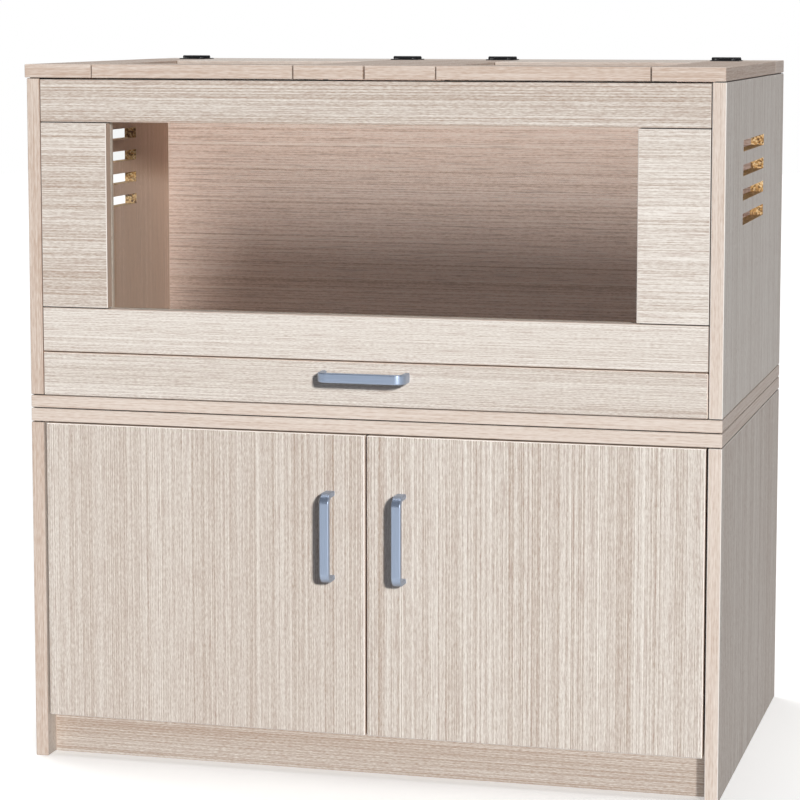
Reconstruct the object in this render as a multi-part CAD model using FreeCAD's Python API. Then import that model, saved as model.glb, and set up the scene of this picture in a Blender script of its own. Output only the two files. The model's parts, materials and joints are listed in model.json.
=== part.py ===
# Wooden cage cabinet: a windowed cage with two mesh lids and a pull-out tray, on a two-door cupboard.
# Millimetres, +Z up, front towards -Y. The origin lies on the floor, at the middle of the whole part's box.
import FreeCAD, Part
import math
import os

from FreeCAD import Vector

# Carcass
WIDTH = 800.0  # over the side panels
DEPTH = 500.0  # front edge to rear edge of the side panels
STORAGE_HEIGHT = 410.0  # floor to the top of the storage unit
CAGE_HEIGHT = 395.0  # underside of the cage unit to the top of its lids
BOARD = 15.0  # laminated particle board
THIN_PANEL = 5.0  # hardboard of the cabinet back and the tray floor
EDGE_BREAK = 0.7  # chamfer that breaks every board edge
SHADOW_LINE = 1.0  # open joint between the faces of two boards
SHADOW_DEPTH = 3.0  # depth of that joint, behind which the boards meet
GROOVE_DEPTH = 6.0
GROOVE_CLEARANCE = 0.15  # on each face of a panel in its groove

# Dowel joints
DOWEL_D = 8.0
DOWEL_LENGTH = 30.0
DOWEL_IN_FACE = 10.0  # depth drilled into the face of a board
DOWEL_END_GAP = 0.5
DOWEL_CLEARANCE = 0.1
DOWEL_MARGIN = 60.0  # first dowel from the end of a long joint
RAIL_DOWEL_MARGIN = 12.0  # first dowel from the edge of a narrow rail

# Storage cabinet
PLINTH_HEIGHT = 50.0
PLINTH_RECESS = 25.0
BACK_PANEL_INSET = 15.0  # rear edge of the sides to the rear face of the thin back
DOOR_GAP = 3.0  # beside and between the doors
DOOR_TOP_GAP = 2.0

# Concealed door hinges
HINGE_END = 70.0  # end of the door to the hinge's middle
CUP_D = 35.0
CUP_DEPTH = 11.5
CUP_EDGE = 3.0  # wood left between the door's edge and the cup
CUP_WALL = 2.0
CUP_FLOOR = 1.0
CUP_CLEARANCE = 0.1
FLANGE = 1.2  # thickness of the cup's flange on the door's back
FLANGE_RIM = 1.5
FLANGE_LENGTH = 60.0
FLANGE_EAR = 16.0
FLANGE_CORNER = 5.0  # rounding of the flange's ears
FLANGE_SETBACK = 2.5  # door edge to the flange
PIVOT_INSET = 11.0  # door edge to the pivot
PIVOT_DEPTH = 8.0  # door front to the pivot
HINGE_PIN_D = 3.0
PIN_CLEARANCE = 0.05
EYE_D = 6.0
ARM_THICK = 3.0
ARM_WIDTH = 10.0
ARM_CLEARANCE = 0.7  # arm to the swinging door edge
ARM_TAIL = 50.0
BEND_RADIUS = 1.0  # inside radius of the arm's bends
PLATE_THICK = 6.0
PLATE_LENGTH = 36.0
PLATE_HEIGHT = 44.0
PLATE_WING = 12.0  # width of the wings that take the plate's screws
PLATE_SETBACK = 10.0  # arm's cross run to the mounting plate

# Cage front
TOP_RAIL_HEIGHT = 49.0
TOP_RAIL_GAP = 1.0  # shadow gap under the lids
LOWER_RAIL_HEIGHT = 50.0
LOWER_RAIL_LIFT = 52.0  # base board to the lower rail
FRONT_PANEL_WIDTH = 80.0
PANE = 3.0
PANE_LAP = 10.0
PANE_CLEARANCE = 0.2
BATTEN_WIDTH = 20.0
BATTEN_DEPTH = 8.0

# Cage back and vents
CAGE_BACK_INSET = 51.0  # rear edge of the sides to the rear face of the cage back
VENT_COUNT = 4
VENT_LENGTH = 175.0
VENT_HEIGHT = 12.8
VENT_PITCH = 27.5
VENT_FRONT = 140.0  # front edge of the side to the slots
VENT_DROP = 68.5  # top of the side to the first slot

# Tray drawer
TRAY_TOP_GAP = 1.6
TRAY_SIDE_GAP = 1.2
TRAY_SLIDE_GAP = 0.3  # runs on the base board
TRAY_FACE_GAP = 1.0  # base board to the lower edge of the tray's face
TRAY_REAR_GAP = 4.0
TRAY_WALL_DROP = 6.0  # walls stand this much lower than the tray front
TRAY_FLOOR_LIFT = 5.0

# Lids and rear board
LID_OVERHANG = 6.0
LID_STILE = 80.0
LID_FRONT_RAIL = 80.0
LID_REAR_RAIL = 135.0
LID_CENTRE_GAP = 2.0
LID_REAR_GAP = 1.0
REAR_BOARD = 80.0
MESH_PITCH = 14.0
MESH_WIRE = 1.2
MESH_LAP = 6.0  # least cover of the mesh on the lid frame

# Lid hinges
LID_HINGE_LENGTH = 35.0
LID_HINGE_INSET = 60.0  # end of the lid to the hinge's middle
LEAF_WIDTH = 16.0
LEAF = 1.2
BARREL_D = 4.4
BARREL_CLEARANCE = 0.4
LEAF_BITE = 1.1  # pin's axis to the end of a leaf under its own knuckles
AXIS_RISE = 2.5  # top of the lid to the pin's axis
LID_PIN_D = 2.0
PIN_HEAD = 0.6
KNUCKLES = 5
KNUCKLE_GAP = 0.2

# Bar handles
HANDLE_CENTRES = 96.0
HANDLE_WIDTH = 11.0
HANDLE_THICK = 6.0
HANDLE_REACH = 25.0
HANDLE_RADIUS = 12.0  # outer bend
HANDLE_SOFTENING = 1.2  # rounding along the bar's edges
DOOR_HANDLE_INSET = 40.0  # meeting edge of the door to the handle's middle
DOOR_HANDLE_DROP = 115.0  # top of the door to the handle's middle
TRAY_HANDLE_DROP = 15.5
SCREW_D = 4.0
SCREW_BITE = 10.0
SCREW_HEAD_D = 8.0
SCREW_HEAD = 2.5
SCREW_CLEARANCE = 0.1

# Places that follow from the sizes above
HALF = WIDTH / 2
INNER = HALF - BOARD
FRONT = -(DEPTH - HANDLE_REACH) / 2
REAR = FRONT + DEPTH
FRONT_BACK = FRONT + BOARD  # back face of the boards that stand in the front plane
STORAGE_UNDER = STORAGE_HEIGHT - BOARD
CAGE_BASE = STORAGE_HEIGHT + BOARD
TOP = STORAGE_HEIGHT + CAGE_HEIGHT
LID_UNDER = TOP - BOARD
BACK_PANEL_FRONT = REAR - BACK_PANEL_INSET - THIN_PANEL
CAGE_BACK_FRONT = REAR - CAGE_BACK_INSET - BOARD
LOWER_RAIL_BOTTOM = CAGE_BASE + LOWER_RAIL_LIFT
WINDOW_BOTTOM = LOWER_RAIL_BOTTOM + LOWER_RAIL_HEIGHT
WINDOW_TOP = LID_UNDER - TOP_RAIL_GAP - TOP_RAIL_HEIGHT
WINDOW_HALF = INNER - FRONT_PANEL_WIDTH
DOOR_BOTTOM = PLINTH_HEIGHT
DOOR_TOP = STORAGE_UNDER - DOOR_TOP_GAP
DOOR_EDGE = INNER - DOOR_GAP
DOOR_MEETING = DOOR_GAP / 2
PIVOT_X = DOOR_EDGE - PIVOT_INSET
PIVOT_Y = FRONT + PIVOT_DEPTH
SWING_RADIUS = math.hypot(PIVOT_INSET, max(PIVOT_DEPTH, BOARD - PIVOT_DEPTH))
ARM_CROSS = SWING_RADIUS + ARM_CLEARANCE  # pivot to the arm's run across the door's edge
LID_FRONT = FRONT - LID_OVERHANG
REAR_BOARD_FRONT = REAR - REAR_BOARD
LID_REAR = REAR_BOARD_FRONT - LID_REAR_GAP
LID_AXIS_Y = REAR_BOARD_FRONT - LID_REAR_GAP / 2
LID_AXIS_Z = TOP + AXIS_RISE
LID_INNER = LID_CENTRE_GAP / 2

X = Vector(1, 0, 0)
Y = Vector(0, 1, 0)
Z = Vector(0, 0, 1)
SQUARE_TURN = 90  # degrees
PARALLEL = 1e-6  # two directions whose cross product is shorter run the same way

# Sides of a board, low and high along one axis, that have a shadow line
NO_LINE = (0, 0)
LOW_LINE = (1, 0)
HIGH_LINE = (0, 1)
BOTH_LINES = (1, 1)


def block(x, y, z):
    """Plain box from three (low, high) pairs."""
    return Part.makeBox(x[1] - x[0], y[1] - y[0], z[1] - z[0], Vector(x[0], y[0], z[0]))


def board(x, y, z):
    """Board with all its edges broken."""
    shape = block(x, y, z)
    return shape.makeChamfer(EDGE_BREAK, shape.Edges)


def lined_board(x, y, z, lines):
    """Board whose faces stop short of its neighbours, which leaves a shadow line along each joint.

    lines holds a pair of flags for the low and high side on each axis. On a flagged side a tongue, set in
    from the board's other sides, still reaches the neighbour.
    """
    face, tongue = [], []
    for (low, high), (at_low, at_high) in zip((x, y, z), lines):
        face.append((low + SHADOW_LINE * at_low, high - SHADOW_LINE * at_high))
        tongue.append((low + SHADOW_DEPTH * (1 - at_low), high - SHADOW_DEPTH * (1 - at_high)))
    return board(*face).fuse(block(*tongue)).removeSplitter()


def mirrored(shape):
    """Twin of a piece on the other side of the middle plane."""
    return shape.mirror(Vector(0, 0, 0), X)


def both_sides(name, right):
    """The right-hand piece and its mirrored left-hand twin, named for their sides."""
    return {name.format("right"): right, name.format("left"): mirrored(right)}


def rod(diameter, start, direction, length):
    """Round bar from a start point."""
    return Part.makeCylinder(diameter / 2, length, start, direction)


def edges_along(shape, axis):
    """Straight edges of a block-like shape that run along an axis."""
    return [e for e in shape.Edges if e.tangentAt(e.FirstParameter).cross(axis).Length < PARALLEL]


def spread(low, high, margin, count):
    """Evenly spaced places between two ends, the outer ones a margin in."""
    step = (high - low - 2 * margin) / (count - 1)
    return [low + margin + step * i for i in range(count)]


def dowel(joint, into, in_face=DOWEL_IN_FACE, length=DOWEL_LENGTH):
    """Dowel across a joint: joint lies on the drilled face, into points at the board that stands on it."""
    return {"start": joint - into * in_face, "into": into, "length": length}


def dowel_solids(dowels):
    """The dowels of a list as round bars."""
    return [rod(DOWEL_D, d["start"], d["into"], d["length"]) for d in dowels]


def drilled(boards, dowels):
    """The boards with a hole for every dowel that reaches them."""
    for d in dowels:
        start = d["start"] - d["into"] * DOWEL_END_GAP
        hole = rod(DOWEL_D + 2 * DOWEL_CLEARANCE, start, d["into"], d["length"] + 2 * DOWEL_END_GAP)
        for name, shape in boards.items():
            if shape.BoundBox.intersect(hole.BoundBox):
                boards[name] = shape.cut(hole)
    return boards


def storage_case():
    """Storage cabinet without its doors."""
    back_groove = (BACK_PANEL_FRONT - GROOVE_CLEARANCE, BACK_PANEL_FRONT + THIN_PANEL + GROOVE_CLEARANCE)
    groove_half = INNER + GROOVE_DEPTH
    groove_room = block((-groove_half, groove_half), back_groove, (0, STORAGE_UNDER + GROOVE_DEPTH))
    panel_half = groove_half - GROOVE_CLEARANCE
    panel_top = STORAGE_UNDER + GROOVE_DEPTH - GROOVE_CLEARANCE
    bottom_front = PIVOT_Y + ARM_CROSS
    bottom_top = PLINTH_HEIGHT + BOARD
    plinth_front = FRONT + PLINTH_RECESS

    side_lines = (NO_LINE, NO_LINE, HIGH_LINE)
    side = lined_board((INNER, HALF), (FRONT, REAR), (0, STORAGE_UNDER), side_lines).cut(groove_room)
    top = board((-HALF, HALF), (FRONT, REAR), (STORAGE_UNDER, STORAGE_HEIGHT)).cut(groove_room)
    boards = both_sides("storage_{}_side", side)
    boards["storage_top_board"] = top
    boards["storage_bottom_board"] = board(
        (-INNER, INNER), (bottom_front, BACK_PANEL_FRONT - GROOVE_CLEARANCE), (PLINTH_HEIGHT, bottom_top)
    )
    boards["plinth_board"] = board((-INNER, INNER), (plinth_front, plinth_front + BOARD), (0, PLINTH_HEIGHT))

    dowels = []
    for hand in (-1, 1):
        into = X * -hand
        for y in spread(FRONT, REAR, DOWEL_MARGIN, 3):
            dowels.append(dowel(Vector(hand * (HALF - BOARD / 2), y, STORAGE_UNDER), Z * -1))
        for y in spread(bottom_front, BACK_PANEL_FRONT, DOWEL_MARGIN, 3):
            dowels.append(dowel(Vector(hand * INNER, y, PLINTH_HEIGHT + BOARD / 2), into))
        dowels.append(dowel(Vector(hand * INNER, plinth_front + BOARD / 2, PLINTH_HEIGHT / 2), into))

    parts = drilled(boards, dowels)
    parts["storage_back_panel"] = block(
        (-panel_half, panel_half),
        (BACK_PANEL_FRONT, BACK_PANEL_FRONT + THIN_PANEL),
        (PLINTH_HEIGHT, panel_top),
    )
    parts["storage_dowels"] = dowel_solids(dowels)
    return parts


def vent_slots():
    """Cutters for the slots in the right cage side."""
    first = LID_UNDER - VENT_DROP
    front = FRONT + VENT_FRONT
    tops = [first - VENT_PITCH * i for i in range(VENT_COUNT)]
    through, along = (INNER - BOARD, HALF + BOARD), (front, front + VENT_LENGTH)
    return [block(through, along, (z - VENT_HEIGHT, z)) for z in tops]


def cage_case():
    """Cage unit without its window, tray and lids."""
    front = (FRONT, FRONT_BACK)
    back = (CAGE_BACK_FRONT, CAGE_BACK_FRONT + BOARD)
    top_rail_z = (WINDOW_TOP, LID_UNDER - TOP_RAIL_GAP)
    lower_rail_z = (LOWER_RAIL_BOTTOM, WINDOW_BOTTOM)
    window_z = (WINDOW_BOTTOM, WINDOW_TOP)
    base_z = (STORAGE_HEIGHT, CAGE_BASE)
    across = (-INNER, INNER)

    side = lined_board((INNER, HALF), (FRONT, REAR), (CAGE_BASE, LID_UNDER), (NO_LINE, NO_LINE, BOTH_LINES))
    panel = lined_board((WINDOW_HALF, INNER), front, window_z, (HIGH_LINE, NO_LINE, BOTH_LINES))
    base = lined_board((-HALF, HALF), (FRONT, REAR), base_z, (NO_LINE, NO_LINE, LOW_LINE))
    boards = both_sides("cage_{}_side", side.cut(Part.makeCompound(vent_slots())))
    boards.update(both_sides("{}_front_panel", panel))
    boards["cage_base_board"] = base
    boards["cage_back_board"] = board(across, back, (CAGE_BASE, LID_UNDER))
    for name, z in (("top_front_rail", top_rail_z), ("lower_front_rail", lower_rail_z)):
        boards[name] = lined_board(across, front, z, (BOTH_LINES, NO_LINE, NO_LINE))
    boards["rear_top_board"] = board((-HALF, HALF), (REAR_BOARD_FRONT, REAR), (LID_UNDER, TOP))

    dowels = []
    for hand in (-1, 1):
        side_middle = hand * (HALF - BOARD / 2)
        into = X * -hand
        for y in spread(FRONT, REAR, DOWEL_MARGIN, 3):
            dowels.append(dowel(Vector(side_middle, y, CAGE_BASE), Z))
        dowels.append(dowel(Vector(side_middle, (REAR_BOARD_FRONT + REAR) / 2, LID_UNDER), Z * -1))
        front_dowels = spread(*window_z, DOWEL_MARGIN, 2)
        for rail_z in (top_rail_z, lower_rail_z):
            front_dowels += spread(*rail_z, RAIL_DOWEL_MARGIN, 2)
        for z in front_dowels:
            dowels.append(dowel(Vector(hand * INNER, FRONT + BOARD / 2, z), into))
        for z in spread(CAGE_BASE, LID_UNDER, DOWEL_MARGIN, 3):
            dowels.append(dowel(Vector(hand * INNER, CAGE_BACK_FRONT + BOARD / 2, z), into))

    parts = drilled(boards, dowels)
    parts["cage_dowels"] = dowel_solids(dowels)
    return parts


def join_units(parts):
    """Loose dowels that keep the cage unit in place on the storage unit."""
    names = ("storage_top_board", "cage_base_board")
    dowels = []
    for x in spread(-HALF, HALF, DOWEL_MARGIN, 2):
        for y in spread(FRONT, REAR, 2 * DOWEL_MARGIN, 2):
            dowels.append(dowel(Vector(x, y, STORAGE_HEIGHT), Z, length=2 * DOWEL_IN_FACE))
    parts.update(drilled({name: parts[name] for name in names}, dowels))
    parts["locating_dowels"] = dowel_solids(dowels)


def window():
    """Clear pane behind the front frame, held by four rebated battens."""
    pane_half = WINDOW_HALF + PANE_LAP
    pane_z = (WINDOW_BOTTOM - PANE_LAP, WINDOW_TOP + PANE_LAP)
    rebate = block(
        (-pane_half - PANE_CLEARANCE, pane_half + PANE_CLEARANCE),
        (FRONT_BACK, FRONT_BACK + PANE),
        (pane_z[0] - PANE_CLEARANCE, pane_z[1] + PANE_CLEARANCE),
    )
    batten_y = (FRONT_BACK, FRONT_BACK + BATTEN_DEPTH)
    reach = WINDOW_HALF + BATTEN_WIDTH
    top = block((-reach, reach), batten_y, (WINDOW_TOP, WINDOW_TOP + BATTEN_WIDTH)).cut(rebate)
    bottom = block((-reach, reach), batten_y, (WINDOW_BOTTOM - BATTEN_WIDTH, WINDOW_BOTTOM)).cut(rebate)
    side = block((WINDOW_HALF, reach), batten_y, (WINDOW_BOTTOM, WINDOW_TOP)).cut(rebate)
    return {
        "window_pane": block((-pane_half, pane_half), (FRONT_BACK, FRONT_BACK + PANE), pane_z),
        "window_top_batten": top,
        "window_bottom_batten": bottom,
        "window_side_battens": [side, mirrored(side)],
    }


def rounded_section(width, height, radius):
    """Closed wire in the XZ plane: a rectangle with round corners about the origin."""
    bar = block((-width / 2, width / 2), (0, height), (-height / 2, height / 2))
    rounded = bar.makeFillet(radius, edges_along(bar, Y))
    return min(rounded.Faces, key=lambda face: face.CenterOfMass.y).OuterWire


def bar_handle():
    """Flat bar bent to a U, feet on the plane y = 0, bar along X; bored for its two screws."""
    half = HANDLE_CENTRES / 2
    reach = HANDLE_REACH - HANDLE_THICK / 2
    bend = HANDLE_RADIUS - HANDLE_THICK / 2
    slack = bend * (1 - math.sqrt(0.5))
    left_foot = Vector(-half, 0, 0)
    left_bend = [
        Vector(x - half, y - reach, 0) for x, y in ((0, bend), (slack, slack), (bend, 0))
    ]
    right_bend = [Vector(-p.x, p.y, 0) for p in reversed(left_bend)]
    path = Part.Wire([
        Part.makeLine(left_foot, left_bend[0]),
        Part.Arc(*left_bend).toShape(),
        Part.makeLine(left_bend[2], right_bend[0]),
        Part.Arc(*right_bend).toShape(),
        Part.makeLine(right_bend[2], Vector(half, 0, 0)),
    ])
    section = rounded_section(HANDLE_THICK, HANDLE_WIDTH, HANDLE_SOFTENING)
    section.translate(left_foot)
    bar = path.makePipeShell([section], True, False)
    bore_d = SCREW_D + 2 * SCREW_CLEARANCE
    for x in (-half, half):
        bar = bar.cut(rod(bore_d, Vector(x, 0, 0), Y * -1, SCREW_BITE + SCREW_CLEARANCE))
    return bar


def handle_screws():
    """Screws of a bar handle, in the handle's own frame: heads behind a board on y = 0."""
    shank = SCREW_BITE + BOARD
    screws = []
    for x in (-HANDLE_CENTRES / 2, HANDLE_CENTRES / 2):
        head = Part.makeCone(SCREW_HEAD_D / 2, SCREW_D / 2, SCREW_HEAD, Vector(x, BOARD, 0), Y)
        screws.append(head.fuse(rod(SCREW_D, Vector(x, -SCREW_BITE, 0), Y, shank)).removeSplitter())
    return screws


def screw_holes():
    """Cutters through the board behind a bar handle, in the handle's own frame."""
    return [
        rod(SCREW_D + 2 * SCREW_CLEARANCE, Vector(x, 0, 0), Y, BOARD)
        for x in (-HANDLE_CENTRES / 2, HANDLE_CENTRES / 2)
    ]


def placed(shape, x, z, upright):
    """A handle piece moved from its own frame to the front plane."""
    turn = FreeCAD.Rotation(Y, SQUARE_TURN if upright else 0)
    moved = shape.copy()
    moved.Placement = FreeCAD.Placement(Vector(x, FRONT, z), turn).multiply(shape.Placement)
    return moved


def hinge_cup(z):
    """Cup of a concealed hinge in the right door's back, with its flange and the holes for its pin."""
    mouth = FRONT_BACK
    centre_x = DOOR_EDGE - CUP_EDGE - CUP_D / 2
    cup_radius = CUP_D / 2 - CUP_CLEARANCE
    bottom = Vector(centre_x, mouth - CUP_DEPTH + CUP_CLEARANCE, z)
    cup = rod(2 * cup_radius, bottom, Y, CUP_DEPTH - CUP_CLEARANCE)
    rim = rod(CUP_D + 2 * FLANGE_RIM, Vector(centre_x, mouth, z), Y, FLANGE)
    ears = block(
        (centre_x - FLANGE_EAR / 2, centre_x + FLANGE_EAR / 2),
        (mouth, mouth + FLANGE),
        (z - FLANGE_LENGTH / 2, z + FLANGE_LENGTH / 2),
    )
    flange = rim.fuse(ears.makeFillet(FLANGE_CORNER, edges_along(ears, Y)))
    beyond = block((DOOR_EDGE - FLANGE_SETBACK, HALF), (mouth, mouth + FLANGE), (z - CUP_D, z + CUP_D))
    room = rod(CUP_D - 2 * CUP_WALL, bottom + Y * CUP_FLOOR, Y, CUP_DEPTH + FLANGE)
    pin_hole = hinge_pin(z, PIN_CLEARANCE)
    return cup.fuse(flange.cut(beyond)).cut(room).cut(pin_hole).removeSplitter()


def hinge_pin(z, clearance=0.0):
    """Pin across the cup, ending inside the cup's wall; with a clearance it is the hole for the pin."""
    offset = CUP_EDGE + CUP_D / 2 - PIVOT_INSET
    radius = HINGE_PIN_D / 2 + clearance
    half = math.sqrt((CUP_D / 2 - 2 * CUP_CLEARANCE) ** 2 - (abs(offset) + HINGE_PIN_D / 2) ** 2)
    return rod(2 * radius, Vector(PIVOT_X, PIVOT_Y, z - half - clearance), Z, 2 * (half + clearance))


def hinge_arm(z):
    """Swan-neck arm: round the pin, in behind the cup's mouth, then across to the mounting plate."""
    half = ARM_THICK / 2
    riser = PIVOT_INSET + ARM_CLEARANCE
    tail = PLATE_THICK - PIVOT_INSET - DOOR_GAP
    riser_far, tail_far = riser + ARM_THICK, tail + ARM_THICK
    cross, cross_far = ARM_CROSS, ARM_CROSS + ARM_THICK
    end = ARM_CROSS + ARM_TAIL
    outline = [
        (0, -half), (riser_far, -half), (riser_far, cross_far), (tail_far, cross_far), (tail_far, end),
        (tail, end), (tail, cross), (riser, cross), (riser, half), (0, half),
    ]
    points = [Vector(PIVOT_X - inward, PIVOT_Y + back, z - ARM_WIDTH / 2) for inward, back in outline]
    arm = Part.Face(Part.makePolygon(points + points[:1])).extrude(Z * ARM_WIDTH)
    inside = [points[3], points[7], points[8]]
    outside = [points[1], points[2], points[6]]
    for corners, radius in ((inside, BEND_RADIUS), (outside, BEND_RADIUS + ARM_THICK / 2)):
        arm = arm.makeFillet(radius, upright_edges_at(arm, corners))
    eye = rod(EYE_D, points[0] + Y * half, Z, ARM_WIDTH)
    bore = rod(HINGE_PIN_D + 2 * PIN_CLEARANCE, points[0] + Y * half, Z, ARM_WIDTH)
    return arm.fuse(eye).cut(bore).removeSplitter()


def upright_edges_at(shape, corners):
    """Vertical edges of a shape that pass over the given corners."""
    found = []
    for edge in edges_along(shape, Z):
        middle = edge.CenterOfMass
        if any(math.hypot(middle.x - c.x, middle.y - c.y) < BEND_RADIUS / 2 for c in corners):
            found.append(edge)
    return found


def mounting_plate(z):
    """Plate under the arm's tail, on the right cabinet side."""
    front = PIVOT_Y + ARM_CROSS + PLATE_SETBACK
    rear = front + PLATE_LENGTH
    low, high = z - PLATE_HEIGHT / 2, z + PLATE_HEIGHT / 2
    thickness = (INNER - PLATE_THICK, INNER)
    shoulder = (PLATE_LENGTH - PLATE_WING) / 2
    plate = block(thickness, (front, rear), (low, high))
    corners = [
        block(thickness, y, beside_arm)
        for y in ((front, front + shoulder), (rear - shoulder, rear))
        for beside_arm in ((low, z - ARM_WIDTH), (z + ARM_WIDTH, high))
    ]
    return plate.cut(Part.makeCompound(corners))


def doors():
    """Both doors with handles and concealed hinges; the arms and plates stay with the cabinet."""
    door = board((DOOR_MEETING, DOOR_EDGE), (FRONT, FRONT_BACK), (DOOR_BOTTOM, DOOR_TOP))
    handle_at = (DOOR_MEETING + DOOR_HANDLE_INSET, DOOR_TOP - DOOR_HANDLE_DROP, True)
    hinge_z = spread(DOOR_BOTTOM, DOOR_TOP, HINGE_END, 2)
    cup_x = DOOR_EDGE - CUP_EDGE - CUP_D / 2
    for z in hinge_z:
        door = door.cut(rod(CUP_D, Vector(cup_x, FRONT_BACK - CUP_DEPTH, z), Y, CUP_DEPTH))
    for hole in screw_holes():
        door = door.cut(placed(hole, *handle_at))
    groups = {
        "door_handle_screws": [placed(screw, *handle_at) for screw in handle_screws()],
        "door_hinge_cups": [hinge_cup(z) for z in hinge_z],
        "door_hinge_pins": [hinge_pin(z) for z in hinge_z],
    }
    arms = [hinge_arm(z) for z in hinge_z]
    plates = [mounting_plate(z) for z in hinge_z]

    parts = both_sides("{}_door", door)
    parts.update(both_sides("{}_door_handle", placed(bar_handle(), *handle_at)))
    for name, solids in groups.items():
        parts["right_" + name] = solids
        parts["left_" + name] = [mirrored(s) for s in solids]
    parts["door_hinge_arms"] = arms + [mirrored(s) for s in arms]
    parts["door_hinge_plates"] = plates + [mirrored(s) for s in plates]
    return parts


def tray():
    """Pull-out tray that is the cage's floor; it slides on the base board."""
    half = INNER - TRAY_SIDE_GAP
    bottom = CAGE_BASE + TRAY_SLIDE_GAP
    front_top = LOWER_RAIL_BOTTOM - TRAY_TOP_GAP
    wall_top = front_top - TRAY_WALL_DROP
    rear = CAGE_BACK_FRONT - TRAY_REAR_GAP
    floor_bottom = bottom + TRAY_FLOOR_LIFT
    inside_half = half - BOARD
    handle_at = (0, front_top - TRAY_HANDLE_DROP, False)

    boards = both_sides("tray_{}_side", board((inside_half, half), (FRONT_BACK, rear), (bottom, wall_top)))
    boards["tray_front"] = board((-half, half), (FRONT, FRONT_BACK), (CAGE_BASE + TRAY_FACE_GAP, front_top))
    boards["tray_back"] = board((-inside_half, inside_half), (rear - BOARD, rear), (bottom, wall_top))
    floor_room = block(
        (-inside_half - GROOVE_DEPTH, inside_half + GROOVE_DEPTH),
        (FRONT_BACK - GROOVE_DEPTH, rear - BOARD + GROOVE_DEPTH),
        (floor_bottom - GROOVE_CLEARANCE, floor_bottom + THIN_PANEL + GROOVE_CLEARANCE),
    )
    for name in boards:
        boards[name] = boards[name].cut(floor_room)

    dowels = []
    wall_middle = (floor_bottom + THIN_PANEL + wall_top) / 2
    for hand in (-1, 1):
        dowels.append(dowel(Vector(hand * (half - BOARD / 2), FRONT_BACK, wall_middle), Y))
        dowels.append(dowel(Vector(hand * inside_half, rear - BOARD / 2, wall_middle), X * -hand))
    parts = drilled(boards, dowels)
    for hole in screw_holes():
        parts["tray_front"] = parts["tray_front"].cut(placed(hole, *handle_at))
    parts["tray_floor"] = block(
        (-inside_half - GROOVE_DEPTH + GROOVE_CLEARANCE, inside_half + GROOVE_DEPTH - GROOVE_CLEARANCE),
        (FRONT_BACK - GROOVE_DEPTH + GROOVE_CLEARANCE, rear - BOARD + GROOVE_DEPTH - GROOVE_CLEARANCE),
        (floor_bottom, floor_bottom + THIN_PANEL),
    )
    parts["tray_dowels"] = dowel_solids(dowels)
    parts["tray_handle"] = placed(bar_handle(), *handle_at)
    parts["tray_handle_screws"] = [placed(screw, *handle_at) for screw in handle_screws()]
    return parts


def lid_mesh(x, y):
    """Welded mesh under a lid's opening, as one sheet with square gaps."""
    columns = math.ceil((x[1] - x[0] + 2 * MESH_LAP) / MESH_PITCH)
    rows = math.ceil((y[1] - y[0] + 2 * MESH_LAP) / MESH_PITCH)
    left = (x[0] + x[1] - columns * MESH_PITCH) / 2
    front = (y[0] + y[1] - rows * MESH_PITCH) / 2
    half_wire = MESH_WIRE / 2

    def outline(first_column, first_row, across, along, spare):
        """Rectangle over some pitches of the mesh, wider than their wires' middles by spare on each side."""
        x_low = left + MESH_PITCH * first_column - spare
        y_low = front + MESH_PITCH * first_row - spare
        x_size = MESH_PITCH * across + 2 * spare
        y_size = MESH_PITCH * along + 2 * spare
        return Part.makePlane(x_size, y_size, Vector(x_low, y_low, LID_UNDER - MESH_WIRE)).OuterWire

    border = outline(0, 0, columns, rows, half_wire)
    gaps = [outline(i, j, 1, 1, -half_wire) for i in range(columns) for j in range(rows)]
    return Part.Face([border] + gaps).extrude(Z * MESH_WIRE)


def hinge_leaf(middle_x, hand, first_knuckle):
    """Leaf of a lid hinge: hand -1 lies on the lid, +1 on the rear board; every other knuckle is its own."""
    axis = Vector(middle_x - LID_HINGE_LENGTH / 2, LID_AXIS_Y, LID_AXIS_Z)
    pitch = LID_HINGE_LENGTH / KNUCKLES
    clear = BARREL_D / 2 + BARREL_CLEARANCE
    leaf_z = (TOP, TOP + LEAF)

    def strip(x, near, far):
        return block(x, sorted((axis.y + hand * near, axis.y + hand * far)), leaf_z)

    leaf = strip((axis.x, axis.x + LID_HINGE_LENGTH), clear, LEAF_WIDTH)
    for i in range(first_knuckle, KNUCKLES, 2):
        start = axis.x + pitch * i + KNUCKLE_GAP / 2
        length = pitch - KNUCKLE_GAP
        leaf = leaf.fuse(rod(BARREL_D, Vector(start, axis.y, axis.z), X, length))
        leaf = leaf.fuse(strip((start, start + length), LEAF_BITE, clear))
    bore = rod(LID_PIN_D + 2 * PIN_CLEARANCE, axis, X, LID_HINGE_LENGTH)
    return leaf.cut(bore).removeSplitter()


def hinge_pin_rod(middle_x):
    """Pin of a lid hinge, standing a little out of its barrel at both ends."""
    start = Vector(middle_x - LID_HINGE_LENGTH / 2 - PIN_HEAD, LID_AXIS_Y, LID_AXIS_Z)
    return rod(LID_PIN_D, start, X, LID_HINGE_LENGTH + 2 * PIN_HEAD)


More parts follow.
